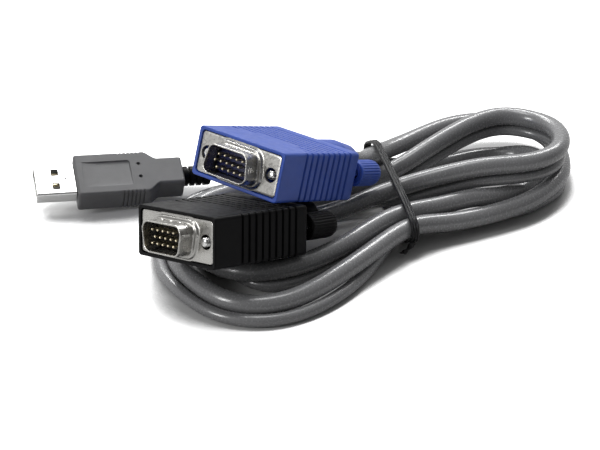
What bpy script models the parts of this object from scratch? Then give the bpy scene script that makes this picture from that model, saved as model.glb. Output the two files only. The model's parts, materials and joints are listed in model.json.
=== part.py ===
"""Twin cable for a KVM switch, lying on Z = 0, in metres with +Z up.

A thick video cord and a thin USB cord run side by side from a blue 15-pin video plug, through a
long loose hank under one tie, to a black 15-pin video plug and a USB plug. Each video plug has two
thumbscrews that turn. The frame's origin is under the middle of the whole cable.
"""
import math

import bmesh
import bpy
import numpy as np
from mathutils import Euler, Matrix, Vector

# Fits
CLEAR = 0.0003

# Video plug: what its width and height follow from
SCREW_SPACING = 0.0250
FLANGE_END = 0.0029
FLANGE_WIDTH = SCREW_SPACING + 2 * FLANGE_END
FLANGE_HEIGHT = 0.0125
HOOD_SIDE_WALL = 0.0013
HOOD_TOP_WALL = 0.00125

# Video plug: hood and boot
HOOD_WIDTH = FLANGE_WIDTH + 2 * HOOD_SIDE_WALL
HOOD_HEIGHT = FLANGE_HEIGHT + 2 * HOOD_TOP_WALL
HOOD_LENGTH = 0.0362
HOOD_EDGE = 0.0011
HOOD_RIM = 0.0004
RIB_COUNT = 9
RIB_PITCH = 0.00264
RIB_GROOVE = 0.0010
RIB_DEPTH = 0.0006
RIB_REAR_BAND = 0.00445
BOOT_LENGTH = 0.0165
BOOT_ROOT_LENGTH = 0.0085
BOOT_ROOT_RADIUS = 0.0072
BOOT_END_RADIUS = 0.0055
BOOT_OVERLAP = 0.0020

# Video plug: metal shell, insulator and pins
FLANGE_THICKNESS = 0.0010
FLANGE_CORNER = 0.0012
SHROUD_WIDTH = 0.0179
SHROUD_HEIGHT = 0.0093
SHROUD_DEPTH = 0.0060
SHROUD_WALL = 0.0005
SHROUD_CORNER = 0.0026
SHROUD_SLOPE = math.radians(10)
INSULATOR_FACE = 0.0008
PIN_RADIUS = 0.00038
PIN_REACH = 0.0050
PIN_POINT = 0.0004
PIN_PITCH = 0.00229
PIN_ROW_SPACING = 0.00198
PINS_PER_ROW = 5
BLUE_WIDE_SIDE = -1
BLACK_WIDE_SIDE = 1

# Thumbscrews
SCREW_RADIUS = 0.0014
SCREW_PAST_HOOD = 0.0078
SCREW_LENGTH = HOOD_LENGTH + SCREW_PAST_HOOD
SCREW_POINT = 0.0006
FLANGE_HOLE_RADIUS = 0.0022
KNOB_RADIUS = 0.0041
KNOB_LENGTH = 0.0118
KNOB_ROUND = 0.0026
KNOB_GRIP = 0.0044
BLUE_FLOAT = 0.0034
BLACK_FLOAT = 0.0026

# USB plug
USB_WIDTH = 0.0165
USB_HEIGHT = 0.0082
USB_LENGTH = 0.0346
USB_MAIN_LENGTH = 0.0226
USB_SHOULDER = 0.0038
USB_NECK_WIDTH = 0.0105
USB_EDGE = 0.0008
USB_RIB_COUNT = 6
USB_RIB_PITCH = 0.0013
USB_RIB_GROOVE = 0.0006
USB_RIB_DEPTH = 0.0004
USB_RIB_START = 0.0142
USB_SHELL_WIDTH = 0.0120
USB_SHELL_HEIGHT = 0.0045
USB_SHELL_LENGTH = 0.0125
USB_SHELL_WALL = 0.0003
USB_SHELL_CORNER = 0.0007
USB_LATCH_WIDTH = 0.0027
USB_LATCH_LENGTH = 0.0024
USB_LATCH_SPACING = 0.0056
USB_LATCH_SETBACK = 0.0052
USB_TONGUE_THICKNESS = 0.0019
USB_TONGUE_LENGTH = 0.0115
USB_CONTACT_THICKNESS = 0.0002
USB_CONTACT_WIDTH = 0.0010
USB_CONTACT_LENGTH = 0.0080
USB_CONTACT_OFFSETS = (-0.0035, -0.0010, 0.0010, 0.0035)
USB_BOOT_LENGTH = 0.0090
USB_BOOT_RADIUS = 0.0032
USB_BOOT_GROOVE_RADIUS = 0.0025
USB_BOOT_RINGS = 4

# Cords and tie
VIDEO_CORD_RADIUS = 0.00295
USB_CORD_RADIUS = 0.0019
CORD_GAP = 0.0003
CORD_LEAD = 0.0060
CORD_SPREAD = 0.0017
CORD_START_LEAN = math.radians(60)
CORD_POINTS = 78
USB_TAIL_POINTS = 8
TIE_WIDTH = 0.0026
TIE_THICKNESS = 0.0008
TIE_CLEAR = 0.0005
TIE_POINTS = 40
TIE_REACH = 0.0400
TIE_MIDDLE = Vector((0.0285, 0.0032, 0.0))
TIE_HEADING = math.radians(13.6)

# How many flat sides stand for a round one
PIN_SIDES = 8
SCREW_SIDES = 12
HOLE_SIDES = 16
KNOB_SIDES = 20
USB_BOOT_SIDES = 14

# Where each plug lies: the middle of its front face, its heading, its pitch up and its roll
BLUE_PLUG = ((-0.0195, -0.0238, 0.0356), -131.2, 21.1, 2.6)
BLACK_PLUG = ((-0.0366, -0.0458, 0.0238), -137.2, 14.7, 14.4)
USB_PLUG = ((-0.0732, 0.0127, 0.0094), -165.2, 4.1, -23.0)

# The video cord's route where both cords run together, from the blue plug round the hank. Each
# row is a point on the cord's middle and the lean, in degrees, of the USB cord from hanging
# straight below it towards the left of the run.
TOGETHER = (
    (0.0220, 0.0229, 0.0137, 64),
    (0.0262, 0.0290, 0.0125, 70),
    (0.0355, 0.0382, 0.0118, 62),
    (0.0460, 0.0457, 0.0125, 60),
    (0.0570, 0.0512, 0.0120, 60),
    (0.0685, 0.0537, 0.0105, 50),
    (0.0780, 0.0512, 0.0095, 35),
    (0.0830, 0.0442, 0.0085, 15),
    (0.0845, 0.0342, 0.0075, 0),
    (0.0830, 0.0232, 0.0072, 0),
    (0.0780, 0.0137, 0.0070, -15),
    (0.0710, 0.0062, 0.0066, -30),
    (0.0620, 0.0007, 0.0060, -45),
    (0.0515, -0.0043, 0.0060, -45),
    (0.0420, -0.0083, 0.0068, -45),
    (0.0330, -0.0128, 0.0080, -45),
    (0.0225, -0.0238, 0.0077, -10),
    (0.0110, -0.0373, 0.0067, 30),
    (-0.0010, -0.0478, 0.0053, 50),
    (-0.0120, -0.0518, 0.0046, 60),
    (-0.0225, -0.0493, 0.0045, 60),
    (-0.0315, -0.0403, 0.0045, 60),
    (-0.0380, -0.0278, 0.0040, 67),
    (-0.0400, -0.0148, 0.0038, 69),
    (-0.0395, -0.0023, 0.0036, 72),
    (-0.0350, 0.0082, 0.0033, 75),
    (-0.0265, 0.0157, 0.0033, 75),
    (-0.0135, 0.0212, 0.0033, 75),
    (0.0025, 0.0257, 0.0035, 75),
    (0.0165, 0.0287, 0.0053, 76),
    (0.0295, 0.0312, 0.0053, 76),
    (0.0445, 0.0367, 0.0033, 75),
    (0.0575, 0.0417, 0.0033, 75),
    (0.0660, 0.0427, 0.0036, 72),
    (0.0730, 0.0397, 0.0056, 50),
    (0.0770, 0.0327, 0.0072, 15),
    (0.0765, 0.0242, 0.0072, -15),
    (0.0725, 0.0167, 0.0066, -45),
    (0.0670, 0.0110, 0.0068, -60),
    (0.0600, 0.0061, 0.0081, -55),
    (0.0515, 0.0019, 0.0096, -50),
    (0.0420, -0.0023, 0.0095, -55),
    (0.0320, -0.0063, 0.0095, -55),
    (0.0235, -0.0128, 0.0095, -40),
    (0.0155, -0.0208, 0.0086, -10),
    (0.0070, -0.0283, 0.0079, 0),
    (-0.0015, -0.0338, 0.0073, 5),
    (-0.0105, -0.0373, 0.0072, 0),
    (-0.0195, -0.0363, 0.0064, -35),
    (-0.0265, -0.0303, 0.0048, -58),
    (-0.0313, -0.0213, 0.0032, -76),
    (-0.0319, -0.0113, 0.0032, -76),
    (-0.0275, -0.0018, 0.0033, -75),
    (-0.0195, 0.0052, 0.0033, -75),
    (-0.0075, 0.0097, 0.0033, -75),
    (0.0045, 0.0122, 0.0035, -74),
    (0.0155, 0.0157, 0.0061, -50),
    (0.0285, 0.0212, 0.0095, -15),
    (0.0370, 0.0262, 0.0125, 0),
    (0.0460, 0.0332, 0.0150, 0),
    (0.0555, 0.0407, 0.0165, 0),
    (0.0655, 0.0452, 0.0170, 0),
    (0.0745, 0.0432, 0.0170, 0),
    (0.0810, 0.0367, 0.0174, 0),
    (0.0830, 0.0282, 0.0176, 0),
    (0.0805, 0.0192, 0.0176, 0),
    (0.0740, 0.0132, 0.0174, 0),
    (0.0655, 0.0102, 0.0175, 0),
    (0.0550, 0.0082, 0.0174, 0),
    (0.0425, 0.0062, 0.0155, 0),
    (0.0305, 0.0057, 0.0119, 0),
)
# The last of the video cord's route, on its own, up to the black plug
VIDEO_TAIL = (
    (0.0205, 0.0024, 0.0096),
    (0.0125, -0.0022, 0.0086),
)
# The last of the USB cord's route, on its own, up to the USB plug
USB_TAIL = (
    (0.0205, 0.0088, 0.0047),
    (0.0105, 0.0052, 0.0065),
    (0.0005, 0.0047, 0.0080),
    (-0.0075, 0.0112, 0.0090),
    (-0.0140, 0.0182, 0.0090),
    (-0.0190, 0.0232, 0.0077),
)


def clear_scene():
    """Empties the open scene."""
    for thing in list(bpy.data.objects):
        bpy.data.objects.remove(thing, do_unlink=True)


def new_collection(name):
    """Makes a collection in the scene."""
    group = bpy.data.collections.new(name)
    bpy.context.scene.collection.children.link(group)
    return group


def make_finish(name, colour, roughness, metallic=0.0):
    """Makes a Principled material."""
    material = bpy.data.materials.new(name)
    material.use_nodes = True
    shader = material.node_tree.nodes["Principled BSDF"]
    shader.inputs["Base Color"].default_value = (*colour, 1.0)
    shader.inputs["Roughness"].default_value = roughness
    shader.inputs["Metallic"].default_value = metallic
    material.diffuse_color = (*colour, 1.0)
    return material


def make_finishes():
    """Makes the part's materials by name."""
    return {
        "blue_moulding": make_finish("blue_moulding", (0.030, 0.055, 0.380), 0.45),
        "black_moulding": make_finish("black_moulding", (0.018, 0.018, 0.020), 0.45),
        "grey_moulding": make_finish("grey_moulding", (0.090, 0.090, 0.095), 0.50),
        "nickel": make_finish("nickel", (0.62, 0.60, 0.56), 0.30, 1.0),
        "bright_steel": make_finish("bright_steel", (0.80, 0.80, 0.80), 0.22, 1.0),
        "gold": make_finish("gold", (0.85, 0.70, 0.40), 0.25, 1.0),
        "navy_insulator": make_finish("navy_insulator", (0.006, 0.010, 0.060), 0.40),
        "black_insulator": make_finish("black_insulator", (0.006, 0.006, 0.007), 0.40),
        "white_tongue": make_finish("white_tongue", (0.75, 0.75, 0.73), 0.50),
        "cord_jacket": make_finish("cord_jacket", (0.085, 0.086, 0.088), 0.35),
        "tie_strip": make_finish("tie_strip", (0.020, 0.020, 0.021), 0.50),
    }


class Maker:
    """Holds the two collections and the materials, and makes the shapes."""

    def __init__(self):
        self.parts = new_collection("kvm_cable")
        self.cutters = new_collection("cutters")
        self.finishes = make_finishes()

    def add(self, name, data, finish, frame=None):
        """Links an object; one with no finish is a cutter."""
        thing = bpy.data.objects.new(name, data)
        if finish is None:
            self.cutters.objects.link(thing)
            thing.hide_render = True
            thing.display_type = "WIRE"
        else:
            self.parts.objects.link(thing)
            data.materials.append(self.finishes[finish])
        thing.parent = frame
        return thing

    def frame(self, name, plug):
        """An empty at a plug's front face: +X out of the mouth, +Z to the plug's top."""
        place, heading, pitch, roll = plug
        empty = bpy.data.objects.new(name, None)
        self.parts.objects.link(empty)
        turn = Matrix.Rotation(math.radians(heading), 4, "Z")
        turn = turn @ Matrix.Rotation(math.radians(-pitch), 4, "Y")
        turn = turn @ Matrix.Rotation(math.radians(roll), 4, "X")
        empty.matrix_world = Matrix.Translation(place) @ turn
        bpy.context.view_layer.update()
        return empty

    def block(self, name, low, high, finish, frame):
        """A box between two corners of the plug's own frame."""
        low = Vector(low)
        high = Vector(high)
        mesh = bpy.data.meshes.new(name)
        shape = bmesh.new()
        bmesh.ops.create_cube(shape, size=1.0)
        bmesh.ops.scale(shape, vec=high - low, verts=shape.verts)
        bmesh.ops.translate(shape, vec=(low + high) / 2, verts=shape.verts)
        shape.to_mesh(mesh)
        shape.free()
        return self.add(name, mesh, finish, frame)

    def blocks(self, name, corners, frame):
        """One cutter of several boxes that don't meet."""
        mesh = bpy.data.meshes.new(name)
        shape = bmesh.new()
        for low, high in corners:
            low = Vector(low)
            high = Vector(high)
            made = bmesh.ops.create_cube(shape, size=1.0)["verts"]
            bmesh.ops.scale(shape, vec=high - low, verts=made)
            bmesh.ops.translate(shape, vec=(low + high) / 2, verts=made)
        shape.to_mesh(mesh)
        shape.free()
        return self.add(name, mesh, None, frame)

    def turned(self, name, outline, sides, finish, frame, offset=(0.0, 0.0)):
        """Turns (radius, height) points, listed down the outside, about a line along the plug's X."""
        mesh = bpy.data.meshes.new(name)
        points = [(radius, 0.0, height) for radius, height in outline]
        mesh.from_pydata(points, [(k, k + 1) for k in range(len(points) - 1)], [])
        thing = self.add(name, mesh, finish, frame)
        thing.location = (0.0, offset[0], offset[1])
        thing.rotation_euler = Euler((0.0, math.pi / 2, 0.0))
        screw = thing.modifiers.new("turn", "SCREW")
        screw.axis = "Z"
        screw.angle = 2 * math.pi
        screw.steps = sides
        screw.render_steps = sides
        screw.use_smooth_shade = False
        screw.use_merge_vertices = True
        screw.merge_threshold = 0.00001
        return thing

    def plate(self, name, outlines, low, high, finish, frame, turn):
        """A flat outline, with holes if more are given, made thick from low to high and turned."""
        curve = bpy.data.curves.new(name, "CURVE")
        curve.dimensions = "2D"
        curve.fill_mode = "BOTH"
        curve.extrude = (high - low) / 2
        for outline in outlines:
            spline = curve.splines.new("POLY")
            spline.points.add(len(outline) - 1)
            for point, (across, up) in zip(spline.points, outline):
                point.co = (across, up, 0.0, 1.0)
            spline.use_cyclic_u = True
        drawn = self.add(name, curve, finish, frame)
        drawn.matrix_local = turn @ Matrix.Translation((0.0, 0.0, (low + high) / 2))
        return self.as_mesh(drawn, finish)

    def as_mesh(self, drawn, finish):
        """Makes a curve object a mesh with its caps welded, in the same place."""
        bpy.context.view_layer.update()
        name = drawn.name
        frame = drawn.parent
        place = drawn.matrix_world.copy()
        evaluated = drawn.evaluated_get(bpy.context.evaluated_depsgraph_get())
        mesh = bpy.data.meshes.new_from_object(evaluated)
        bpy.data.objects.remove(drawn, do_unlink=True)
        shape = bmesh.new()
        shape.from_mesh(mesh)
        bmesh.ops.remove_doubles(shape, verts=shape.verts, dist=0.000001)
        shape.to_mesh(mesh)
        shape.free()
        mesh.materials.clear()
        mesh.name = name
        thing = self.add(name, mesh, finish, frame)
        thing.matrix_world = place
        return thing

    def cord(self, name, points, radius, resolution):
        """A tube through the points."""
        curve = bpy.data.curves.new(name, "CURVE")
        curve.dimensions = "3D"
        curve.bevel_depth = radius
        curve.bevel_resolution = resolution
        curve.use_fill_caps = True
        spline = curve.splines.new("POLY")
        spline.points.add(len(points) - 1)
        for point, (x, y, z) in zip(spline.points, points):
            point.co = (x, y, z, 1.0)
        return self.add(name, curve, "cord_jacket")


# Curve space to plug space: across is +Y, up is +Z and the thickness runs along +X
FACING = Matrix(((0, 0, 1, 0), (1, 0, 0, 0), (0, 1, 0, 0), (0, 0, 0, 1)))


def cut(thing, cutter, operation="DIFFERENCE"):
    """Adds a Boolean."""
    step = thing.modifiers.new(cutter.name, "BOOLEAN")
    step.operation = operation
    step.object = cutter
    step.solver = "EXACT"


def rounded(corners, radius, steps=3):
    """Rounds the corners of a convex outline that is listed anticlockwise."""
    outline = []
    count = len(corners)
    for k in range(count):
        before = Vector(corners[k - 1])
        corner = Vector(corners[k])
        after = Vector(corners[(k + 1) % count])
        back = (before - corner).normalized()
        ahead = (after - corner).normalized()
        half = back.angle(ahead) / 2
        middle = corner + (back + ahead).normalized() * radius / math.sin(half)
        first = corner + back * radius / math.tan(half) - middle
        last = corner + ahead * radius / math.tan(half) - middle
        spread = first.angle(last)
        for step in range(steps + 1):
            share = step / steps
            arm = first * math.sin((1 - share) * spread) + last * math.sin(share * spread)
            outline.append(tuple(middle + arm / math.sin(spread)))
    return outline


def rectangle(width, height, radius, steps=3):
    """A rounded rectangle about the middle."""
    w = width / 2
    h = height / 2
    return rounded([(-w, -h), (w, -h), (w, h), (-w, h)], radius, steps)


def d_outline(inset, wide_side):
    """The shroud's outline, wide side up for 1 or down for -1, moved inwards by inset."""
    h = SHROUD_HEIGHT / 2 - inset
    lean = math.tan(SHROUD_SLOPE)
    middle = SHROUD_WIDTH / 2 - SHROUD_HEIGHT / 2 * lean - inset / math.cos(SHROUD_SLOPE)
    top = middle + wide_side * h * lean
    bottom = middle - wide_side * h * lean
    return rounded([(-bottom, -h), (bottom, -h), (top, h), (-top, h)], SHROUD_CORNER - inset, 4)


def make_hood(make, colour, frame):
    """Moulded hood with its boot, ribs, pocket for the metal face and screw bores."""
    finish = colour + "_moulding"
    w = HOOD_WIDTH / 2
    h = HOOD_HEIGHT / 2
    hood = make.block(colour + "_hood", (-HOOD_LENGTH, -w, -h), (HOOD_RIM, w, h), finish, frame)
    edges = hood.modifiers.new("edges", "BEVEL")
    edges.width = HOOD_EDGE
    edges.segments = 2
    boot = make.turned(colour + "_boot_form", [
        (0.0, BOOT_OVERLAP - HOOD_LENGTH),
        (BOOT_ROOT_RADIUS, BOOT_OVERLAP - HOOD_LENGTH),
        (BOOT_ROOT_RADIUS, -HOOD_LENGTH - BOOT_ROOT_LENGTH),
        (BOOT_END_RADIUS, -HOOD_LENGTH - BOOT_LENGTH),
        (0.0, -HOOD_LENGTH - BOOT_LENGTH)], KNOB_SIDES, None, frame)
    cut(hood, boot, "UNION")
    pocket = rectangle(FLANGE_WIDTH + 2 * CLEAR, FLANGE_HEIGHT + 2 * CLEAR, FLANGE_CORNER + CLEAR)
    depth = FLANGE_THICKNESS + CLEAR
    cut(hood, make.plate(colour + "_pocket", [pocket], -depth, 2 * depth, None, frame, FACING))
    side_grooves = []
    face_grooves = []
    for k in range(RIB_COUNT):
        rear = RIB_REAR_BAND + k * RIB_PITCH - HOOD_LENGTH
        front = rear + RIB_GROOVE
        for side in (-1, 1):
            inner = side * (w - RIB_DEPTH)
            outer = side * (w + RIB_DEPTH)
            low = (rear, min(inner, outer), -2 * h)
            side_grooves.append((low, (front, max(inner, outer), 2 * h)))
            inner = side * (h - RIB_DEPTH / 2)
            outer = side * (h + RIB_DEPTH)
            low = (rear, -2 * w, min(inner, outer))
            face_grooves.append((low, (front, 2 * w, max(inner, outer))))
    cut(hood, make.blocks(colour + "_side_grooves", side_grooves, frame))
    cut(hood, make.blocks(colour + "_face_grooves", face_grooves, frame))
    past = -HOOD_LENGTH - CLEAR
    for side in (-1, 1):
        bore = make.turned("%s_bore_%d" % (colour, side + 1), [
            (0.0, depth),
            (SCREW_RADIUS + CLEAR, depth),
            (SCREW_RADIUS + CLEAR, past),
            (0.0, past)], SCREW_SIDES, None, frame, (side * SCREW_SPACING / 2, 0.0))
        cut(hood, bore)
    return hood


def make_face(make, colour, frame, wide_side):
    """Metal flange with its D-shaped shroud, the insulator in it and the pins."""
    flange = rectangle(FLANGE_WIDTH, FLANGE_HEIGHT, FLANGE_CORNER)
    shell = make.plate(colour + "_shell", [flange], -FLANGE_THICKNESS, 0.0, "nickel", frame, FACING)
    rear = -FLANGE_THICKNESS / 2
    outer = [d_outline(0.0, wide_side)]
    shroud = make.plate(colour + "_shroud_form", outer, rear, SHROUD_DEPTH, None, frame, FACING)
    cut(shell, shroud, "UNION")
    hollow = [d_outline(SHROUD_WALL, wide_side)]
    cut(shell, make.plate(colour + "_hollow", hollow, -SHROUD_DEPTH, 2 * SHROUD_DEPTH, None, frame, FACING))
    for side in (-1, 1):
        hole = make.turned("%s_hole_%d" % (colour, side + 1), [
            (0.0, SHROUD_DEPTH),
            (FLANGE_HOLE_RADIUS, SHROUD_DEPTH),
            (FLANGE_HOLE_RADIUS, -SHROUD_DEPTH),
            (0.0, -SHROUD_DEPTH)], HOLE_SIDES, None, frame, (side * SCREW_SPACING / 2, 0.0))
        cut(shell, hole)
    finish = "navy_insulator" if colour == "blue" else "black_insulator"
    core = [d_outline(SHROUD_WALL + CLEAR, wide_side)]
    rear = -FLANGE_THICKNESS
    make.plate(colour + "_insulator", core, rear, INSULATOR_FACE, finish, frame, FACING)
    for row in range(3):
        for k in range(PINS_PER_ROW):
            shift = wide_side * (PIN_PITCH / 4 if row == 1 else -PIN_PITCH / 4)
            across = (k - (PINS_PER_ROW - 1) / 2) * PIN_PITCH + shift
            up = (1 - row) * PIN_ROW_SPACING
            number = row * PINS_PER_ROW + k + 1
            make.turned("%s_pin_%02d" % (colour, number), [
                (0.0, PIN_REACH),
                (PIN_RADIUS / 2, PIN_REACH),
                (PIN_RADIUS, PIN_REACH - PIN_POINT),
                (PIN_RADIUS, INSULATOR_FACE + CLEAR),
                (0.0, INSULATOR_FACE + CLEAR)], PIN_SIDES, "gold", frame, (across, up))


def make_thumbscrews(make, colour, frame, float_back):
    """Two captive screws through the hood, each with a moulded knob on its rear end."""
    front = -HOOD_LENGTH - float_back
    end = front - KNOB_LENGTH
    grip = front - KNOB_GRIP
    tail = grip + CLEAR
    tip = tail + SCREW_LENGTH
    for side, word in ((-1, "left"), (1, "right")):
        offset = (side * SCREW_SPACING / 2, 0.0)
        make.turned("%s_screw_%s" % (colour, word), [
            (0.0, tip),
            (SCREW_RADIUS / 2, tip),
            (SCREW_RADIUS, tip - SCREW_POINT),
            (SCREW_RADIUS, tail),
            (0.0, tail)], SCREW_SIDES, "bright_steel", frame, offset)
        make.turned("%s_knob_%s" % (colour, word), [
            (0.0, grip),
            (SCREW_RADIUS + CLEAR, grip),
            (SCREW_RADIUS + CLEAR, front),
            (KNOB_RADIUS, front),
            (KNOB_RADIUS, end + KNOB_ROUND),
            (KNOB_RADIUS - KNOB_ROUND / 4, end + KNOB_ROUND / 3),
            (KNOB_RADIUS - KNOB_ROUND * 2 / 3, end),
            (0.0, end)], KNOB_SIDES, colour + "_moulding", frame, offset)


def make_video_plug(make, colour, plug, float_back, wide_side):
    """One video plug with all its pieces."""
    frame = make.frame(colour + "_plug_frame", plug)
    make_hood(make, colour, frame)
    make_face(make, colour, frame, wide_side)
    make_thumbscrews(make, colour, frame, float_back)
    return frame


def make_usb_body(make, frame):
    """Moulded body with a stepped rear and ribbed sides."""
    w = USB_WIDTH / 2
    neck = USB_NECK_WIDTH / 2
    far = -USB_MAIN_LENGTH - USB_SHOULDER
    bend = w - (w - neck) / 4
    outline = [
        (0.0, -w), (0.0, w), (-USB_MAIN_LENGTH, w), (-USB_MAIN_LENGTH - USB_SHOULDER / 2, bend), (far, neck),
        (-USB_LENGTH, neck), (-USB_LENGTH, -neck), (far, -neck), (-USB_MAIN_LENGTH - USB_SHOULDER / 2, -bend),
        (-USB_MAIN_LENGTH, -w)]
    half = USB_HEIGHT / 2
    body = make.plate("usb_body", [outline], -half, half, "grey_moulding", frame, Matrix.Identity(4))
    edges = body.modifiers.new("edges", "BEVEL")
    edges.width = USB_EDGE
    edges.segments = 2
    grooves = []
    for k in range(USB_RIB_COUNT):
        front = -USB_RIB_START - k * USB_RIB_PITCH
        for side in (-1, 1):
            inner = side * (w - USB_RIB_DEPTH)
            outer = side * (w + USB_RIB_DEPTH)
            low = (front - USB_RIB_GROOVE, min(inner, outer), -USB_HEIGHT)
            grooves.append((low, (front, max(inner, outer), USB_HEIGHT)))
    cut(body, make.blocks("usb_side_grooves", grooves, frame))


def make_usb_shell(make, frame):
    """Metal shell, open at its mouth, with two latch holes above and two below."""
    outer = rectangle(USB_SHELL_WIDTH, USB_SHELL_HEIGHT, USB_SHELL_CORNER)
    wall = 2 * USB_SHELL_WALL
    inner = rectangle(USB_SHELL_WIDTH - wall, USB_SHELL_HEIGHT - wall, USB_SHELL_CORNER - USB_SHELL_WALL)
    mouth = CLEAR + USB_SHELL_LENGTH
    shell = make.plate("usb_shell", [outer, inner], CLEAR, mouth, "bright_steel", frame, FACING)
    holes = []
    front = mouth - USB_LATCH_SETBACK
    for side in (-1, 1):
        left = side * USB_LATCH_SPACING / 2 - USB_LATCH_WIDTH / 2
        low = (front - USB_LATCH_LENGTH, left, -USB_SHELL_HEIGHT)
        holes.append((low, (front, left + USB_LATCH_WIDTH, USB_SHELL_HEIGHT)))
    cut(shell, make.blocks("usb_latch_holes", holes, frame))


def make_usb_tongue(make, frame):
    """Plastic tongue on the shell's floor with four contacts on it."""
    across = USB_SHELL_WIDTH / 2 - USB_SHELL_WALL - CLEAR
    floor = -USB_SHELL_HEIGHT / 2 + USB_SHELL_WALL + CLEAR
    top = floor + USB_TONGUE_THICKNESS
    end = CLEAR + USB_TONGUE_LENGTH
    make.block("usb_tongue", (CLEAR, -across, floor), (end, across, top), "white_tongue", frame)
    low = top + CLEAR
    high = low + USB_CONTACT_THICKNESS
    for number, offset in enumerate(USB_CONTACT_OFFSETS, 1):
        left = offset - USB_CONTACT_WIDTH / 2
        right = offset + USB_CONTACT_WIDTH / 2
        back = end - USB_CONTACT_LENGTH
        make.block("usb_contact_%d" % number, (back, left, low), (end - CLEAR, right, high), "gold", frame)


def make_usb_boot(make, frame):
    """Segmented strain relief behind the body."""
    front = -USB_LENGTH - CLEAR
    pitch = (USB_BOOT_LENGTH - CLEAR) / USB_BOOT_RINGS
    outline = [(0.0, front)]
    for k in range(USB_BOOT_RINGS):
        top = front - k * pitch
        outline.append((USB_BOOT_RADIUS, top))
        outline.append((USB_BOOT_RADIUS, top - pitch * 2 / 3))
        if k < USB_BOOT_RINGS - 1:
            outline.append((USB_BOOT_GROOVE_RADIUS, top - pitch * 2 / 3))
            outline.append((USB_BOOT_GROOVE_RADIUS, top - pitch))
    last = front - USB_BOOT_RINGS * pitch
    outline[-1] = (USB_BOOT_RADIUS, last)
    outline.append((0.0, last))
    make.turned("usb_boot", outline, USB_BOOT_SIDES, "black_moulding", frame)


def make_usb_plug(make):
    """The USB plug with all its pieces."""
    frame = make.frame("usb_plug_frame", USB_PLUG)
    make_usb_body(make, frame)
    make_usb_shell(make, frame)
    make_usb_tongue(make, frame)
    make_usb_boot(make, frame)
    return frame


class SmoothCurve:
    """Natural cubic curve through points, measured by the summed square roots of their chords."""

    def __init__(self, rows):
        self.rows = np.array(rows, float)
        chords = np.linalg.norm(np.diff(self.rows[:, :3], axis=0), axis=1)
        self.knots = np.concatenate([[0.0], np.cumsum(np.sqrt(chords))])
        steps = np.diff(self.knots)
        count = len(self.rows)
        system = np.eye(count)
        right = np.zeros_like(self.rows)
        slopes = np.diff(self.rows, axis=0) / steps[:, None]
        for k in range(1, count - 1):
            system[k, k - 1] = steps[k - 1]
            system[k, k] = 2 * (steps[k - 1] + steps[k])
            system[k, k + 1] = steps[k]
            right[k] = 6 * (slopes[k] - slopes[k - 1])
        self.bends = np.linalg.solve(system, right)
        self.steps = steps

    def at(self, places):
        """Points at the given places along the curve."""
        k = np.clip(np.searchsorted(self.knots, places) - 1, 0, len(self.steps) - 1)
        step = self.steps[k][:, None]
        ahead = (self.knots[k + 1] - places)[:, None]
        past = (places - self.knots[k])[:, None]
        bent = (self.bends[k] * ahead**3 + self.bends[k + 1] * past**3) / (6 * step)
        left = (self.rows[k] / step - self.bends[k] * step / 6) * ahead
        right = (self.rows[k + 1] / step - self.bends[k + 1] * step / 6) * past
        return bent + left + right


def beside(points, directions, leans):
    """The USB cord's middle beside the video cord's, turned by its lean about the run."""
    along = directions / np.linalg.norm(directions, axis=1)[:, None]
    left = np.stack([-along[:, 1], along[:, 0], np.zeros(len(along))], axis=1)
    left /= np.linalg.norm(left, axis=1)[:, None]
    down = np.cross(left, along)
    down *= -np.sign(down[:, 2])[:, None]
    lean = np.radians(leans)[:, None]
    reach = VIDEO_CORD_RADIUS + USB_CORD_RADIUS + CORD_GAP
    return points + reach * (np.cos(lean) * down + np.sin(lean) * left)


def plug_point(frame, back, across=0.0, up=0.0):
    """A point behind a plug's front face, on its middle line or beside and above it."""
    return tuple(frame.matrix_world @ Vector((-back, across, up)))


def cord_routes(blue, black, usb):
    """Points of the video cord's tube and of the USB cord's."""
    mouth = HOOD_LENGTH + BOOT_LENGTH + CORD_GAP
    lead = mouth + CORD_LEAD
    across = CORD_SPREAD * math.sin(CORD_START_LEAN)
    up = CORD_SPREAD * math.cos(CORD_START_LEAN)
    start = []
    for k in range(3):
        point = plug_point(blue, mouth + k * CORD_LEAD / 2, across, up)
        start.append((*point, math.degrees(CORD_START_LEAN)))
    tail = [(*row, 0) for row in VIDEO_TAIL]
    end = [(*plug_point(black, lead - k * CORD_LEAD / 2), 0) for k in range(3)]
    curve = SmoothCurve(start + list(TOGETHER) + tail + end)
    places = np.linspace(0.0, curve.knots[-1], CORD_POINTS)
    sampled = curve.at(places)
    small = 0.001 * curve.knots[-1] / CORD_POINTS
    directions = curve.at(places + small) - curve.at(places - small)
    video = sampled[:, :3]
    shared = places <= curve.knots[len(start) + len(TOGETHER) - 1]
    paired = beside(video[shared], directions[shared, :3], sampled[shared, 3])
    usb_mouth = USB_LENGTH + USB_BOOT_LENGTH + CORD_GAP
    own = [tuple(row) for row in paired[-3:]] + list(USB_TAIL)
    own += [plug_point(usb, usb_mouth + CORD_LEAD), plug_point(usb, usb_mouth)]
    own_curve = SmoothCurve(own)
    own_places = np.linspace(own_curve.knots[2], own_curve.knots[-1], USB_TAIL_POINTS + 1)[1:]
    return video, np.concatenate([paired, own_curve.at(own_places)])


def crossings(points, radius, across, heading):
    """Middle and widest radius of a tube where it passes through the tie."""
    offsets = (points - np.array(TIE_MIDDLE)) @ heading
    found = []
    for shift in (-TIE_WIDTH / 2, 0.0, TIE_WIDTH / 2):
        side = offsets - shift
        for k in np.nonzero(side[:-1] * side[1:] < 0)[0]:
            share = side[k] / (side[k] - side[k + 1])
            place = points[k] + share * (points[k + 1] - points[k])
            run = (points[k + 1] - points[k]) / np.linalg.norm(points[k + 1] - points[k])
            flat = (place - np.array(TIE_MIDDLE)) @ across
            if abs(flat) < TIE_REACH:
                found.append((flat, place[2], radius / abs(run @ heading)))
    return found


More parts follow.
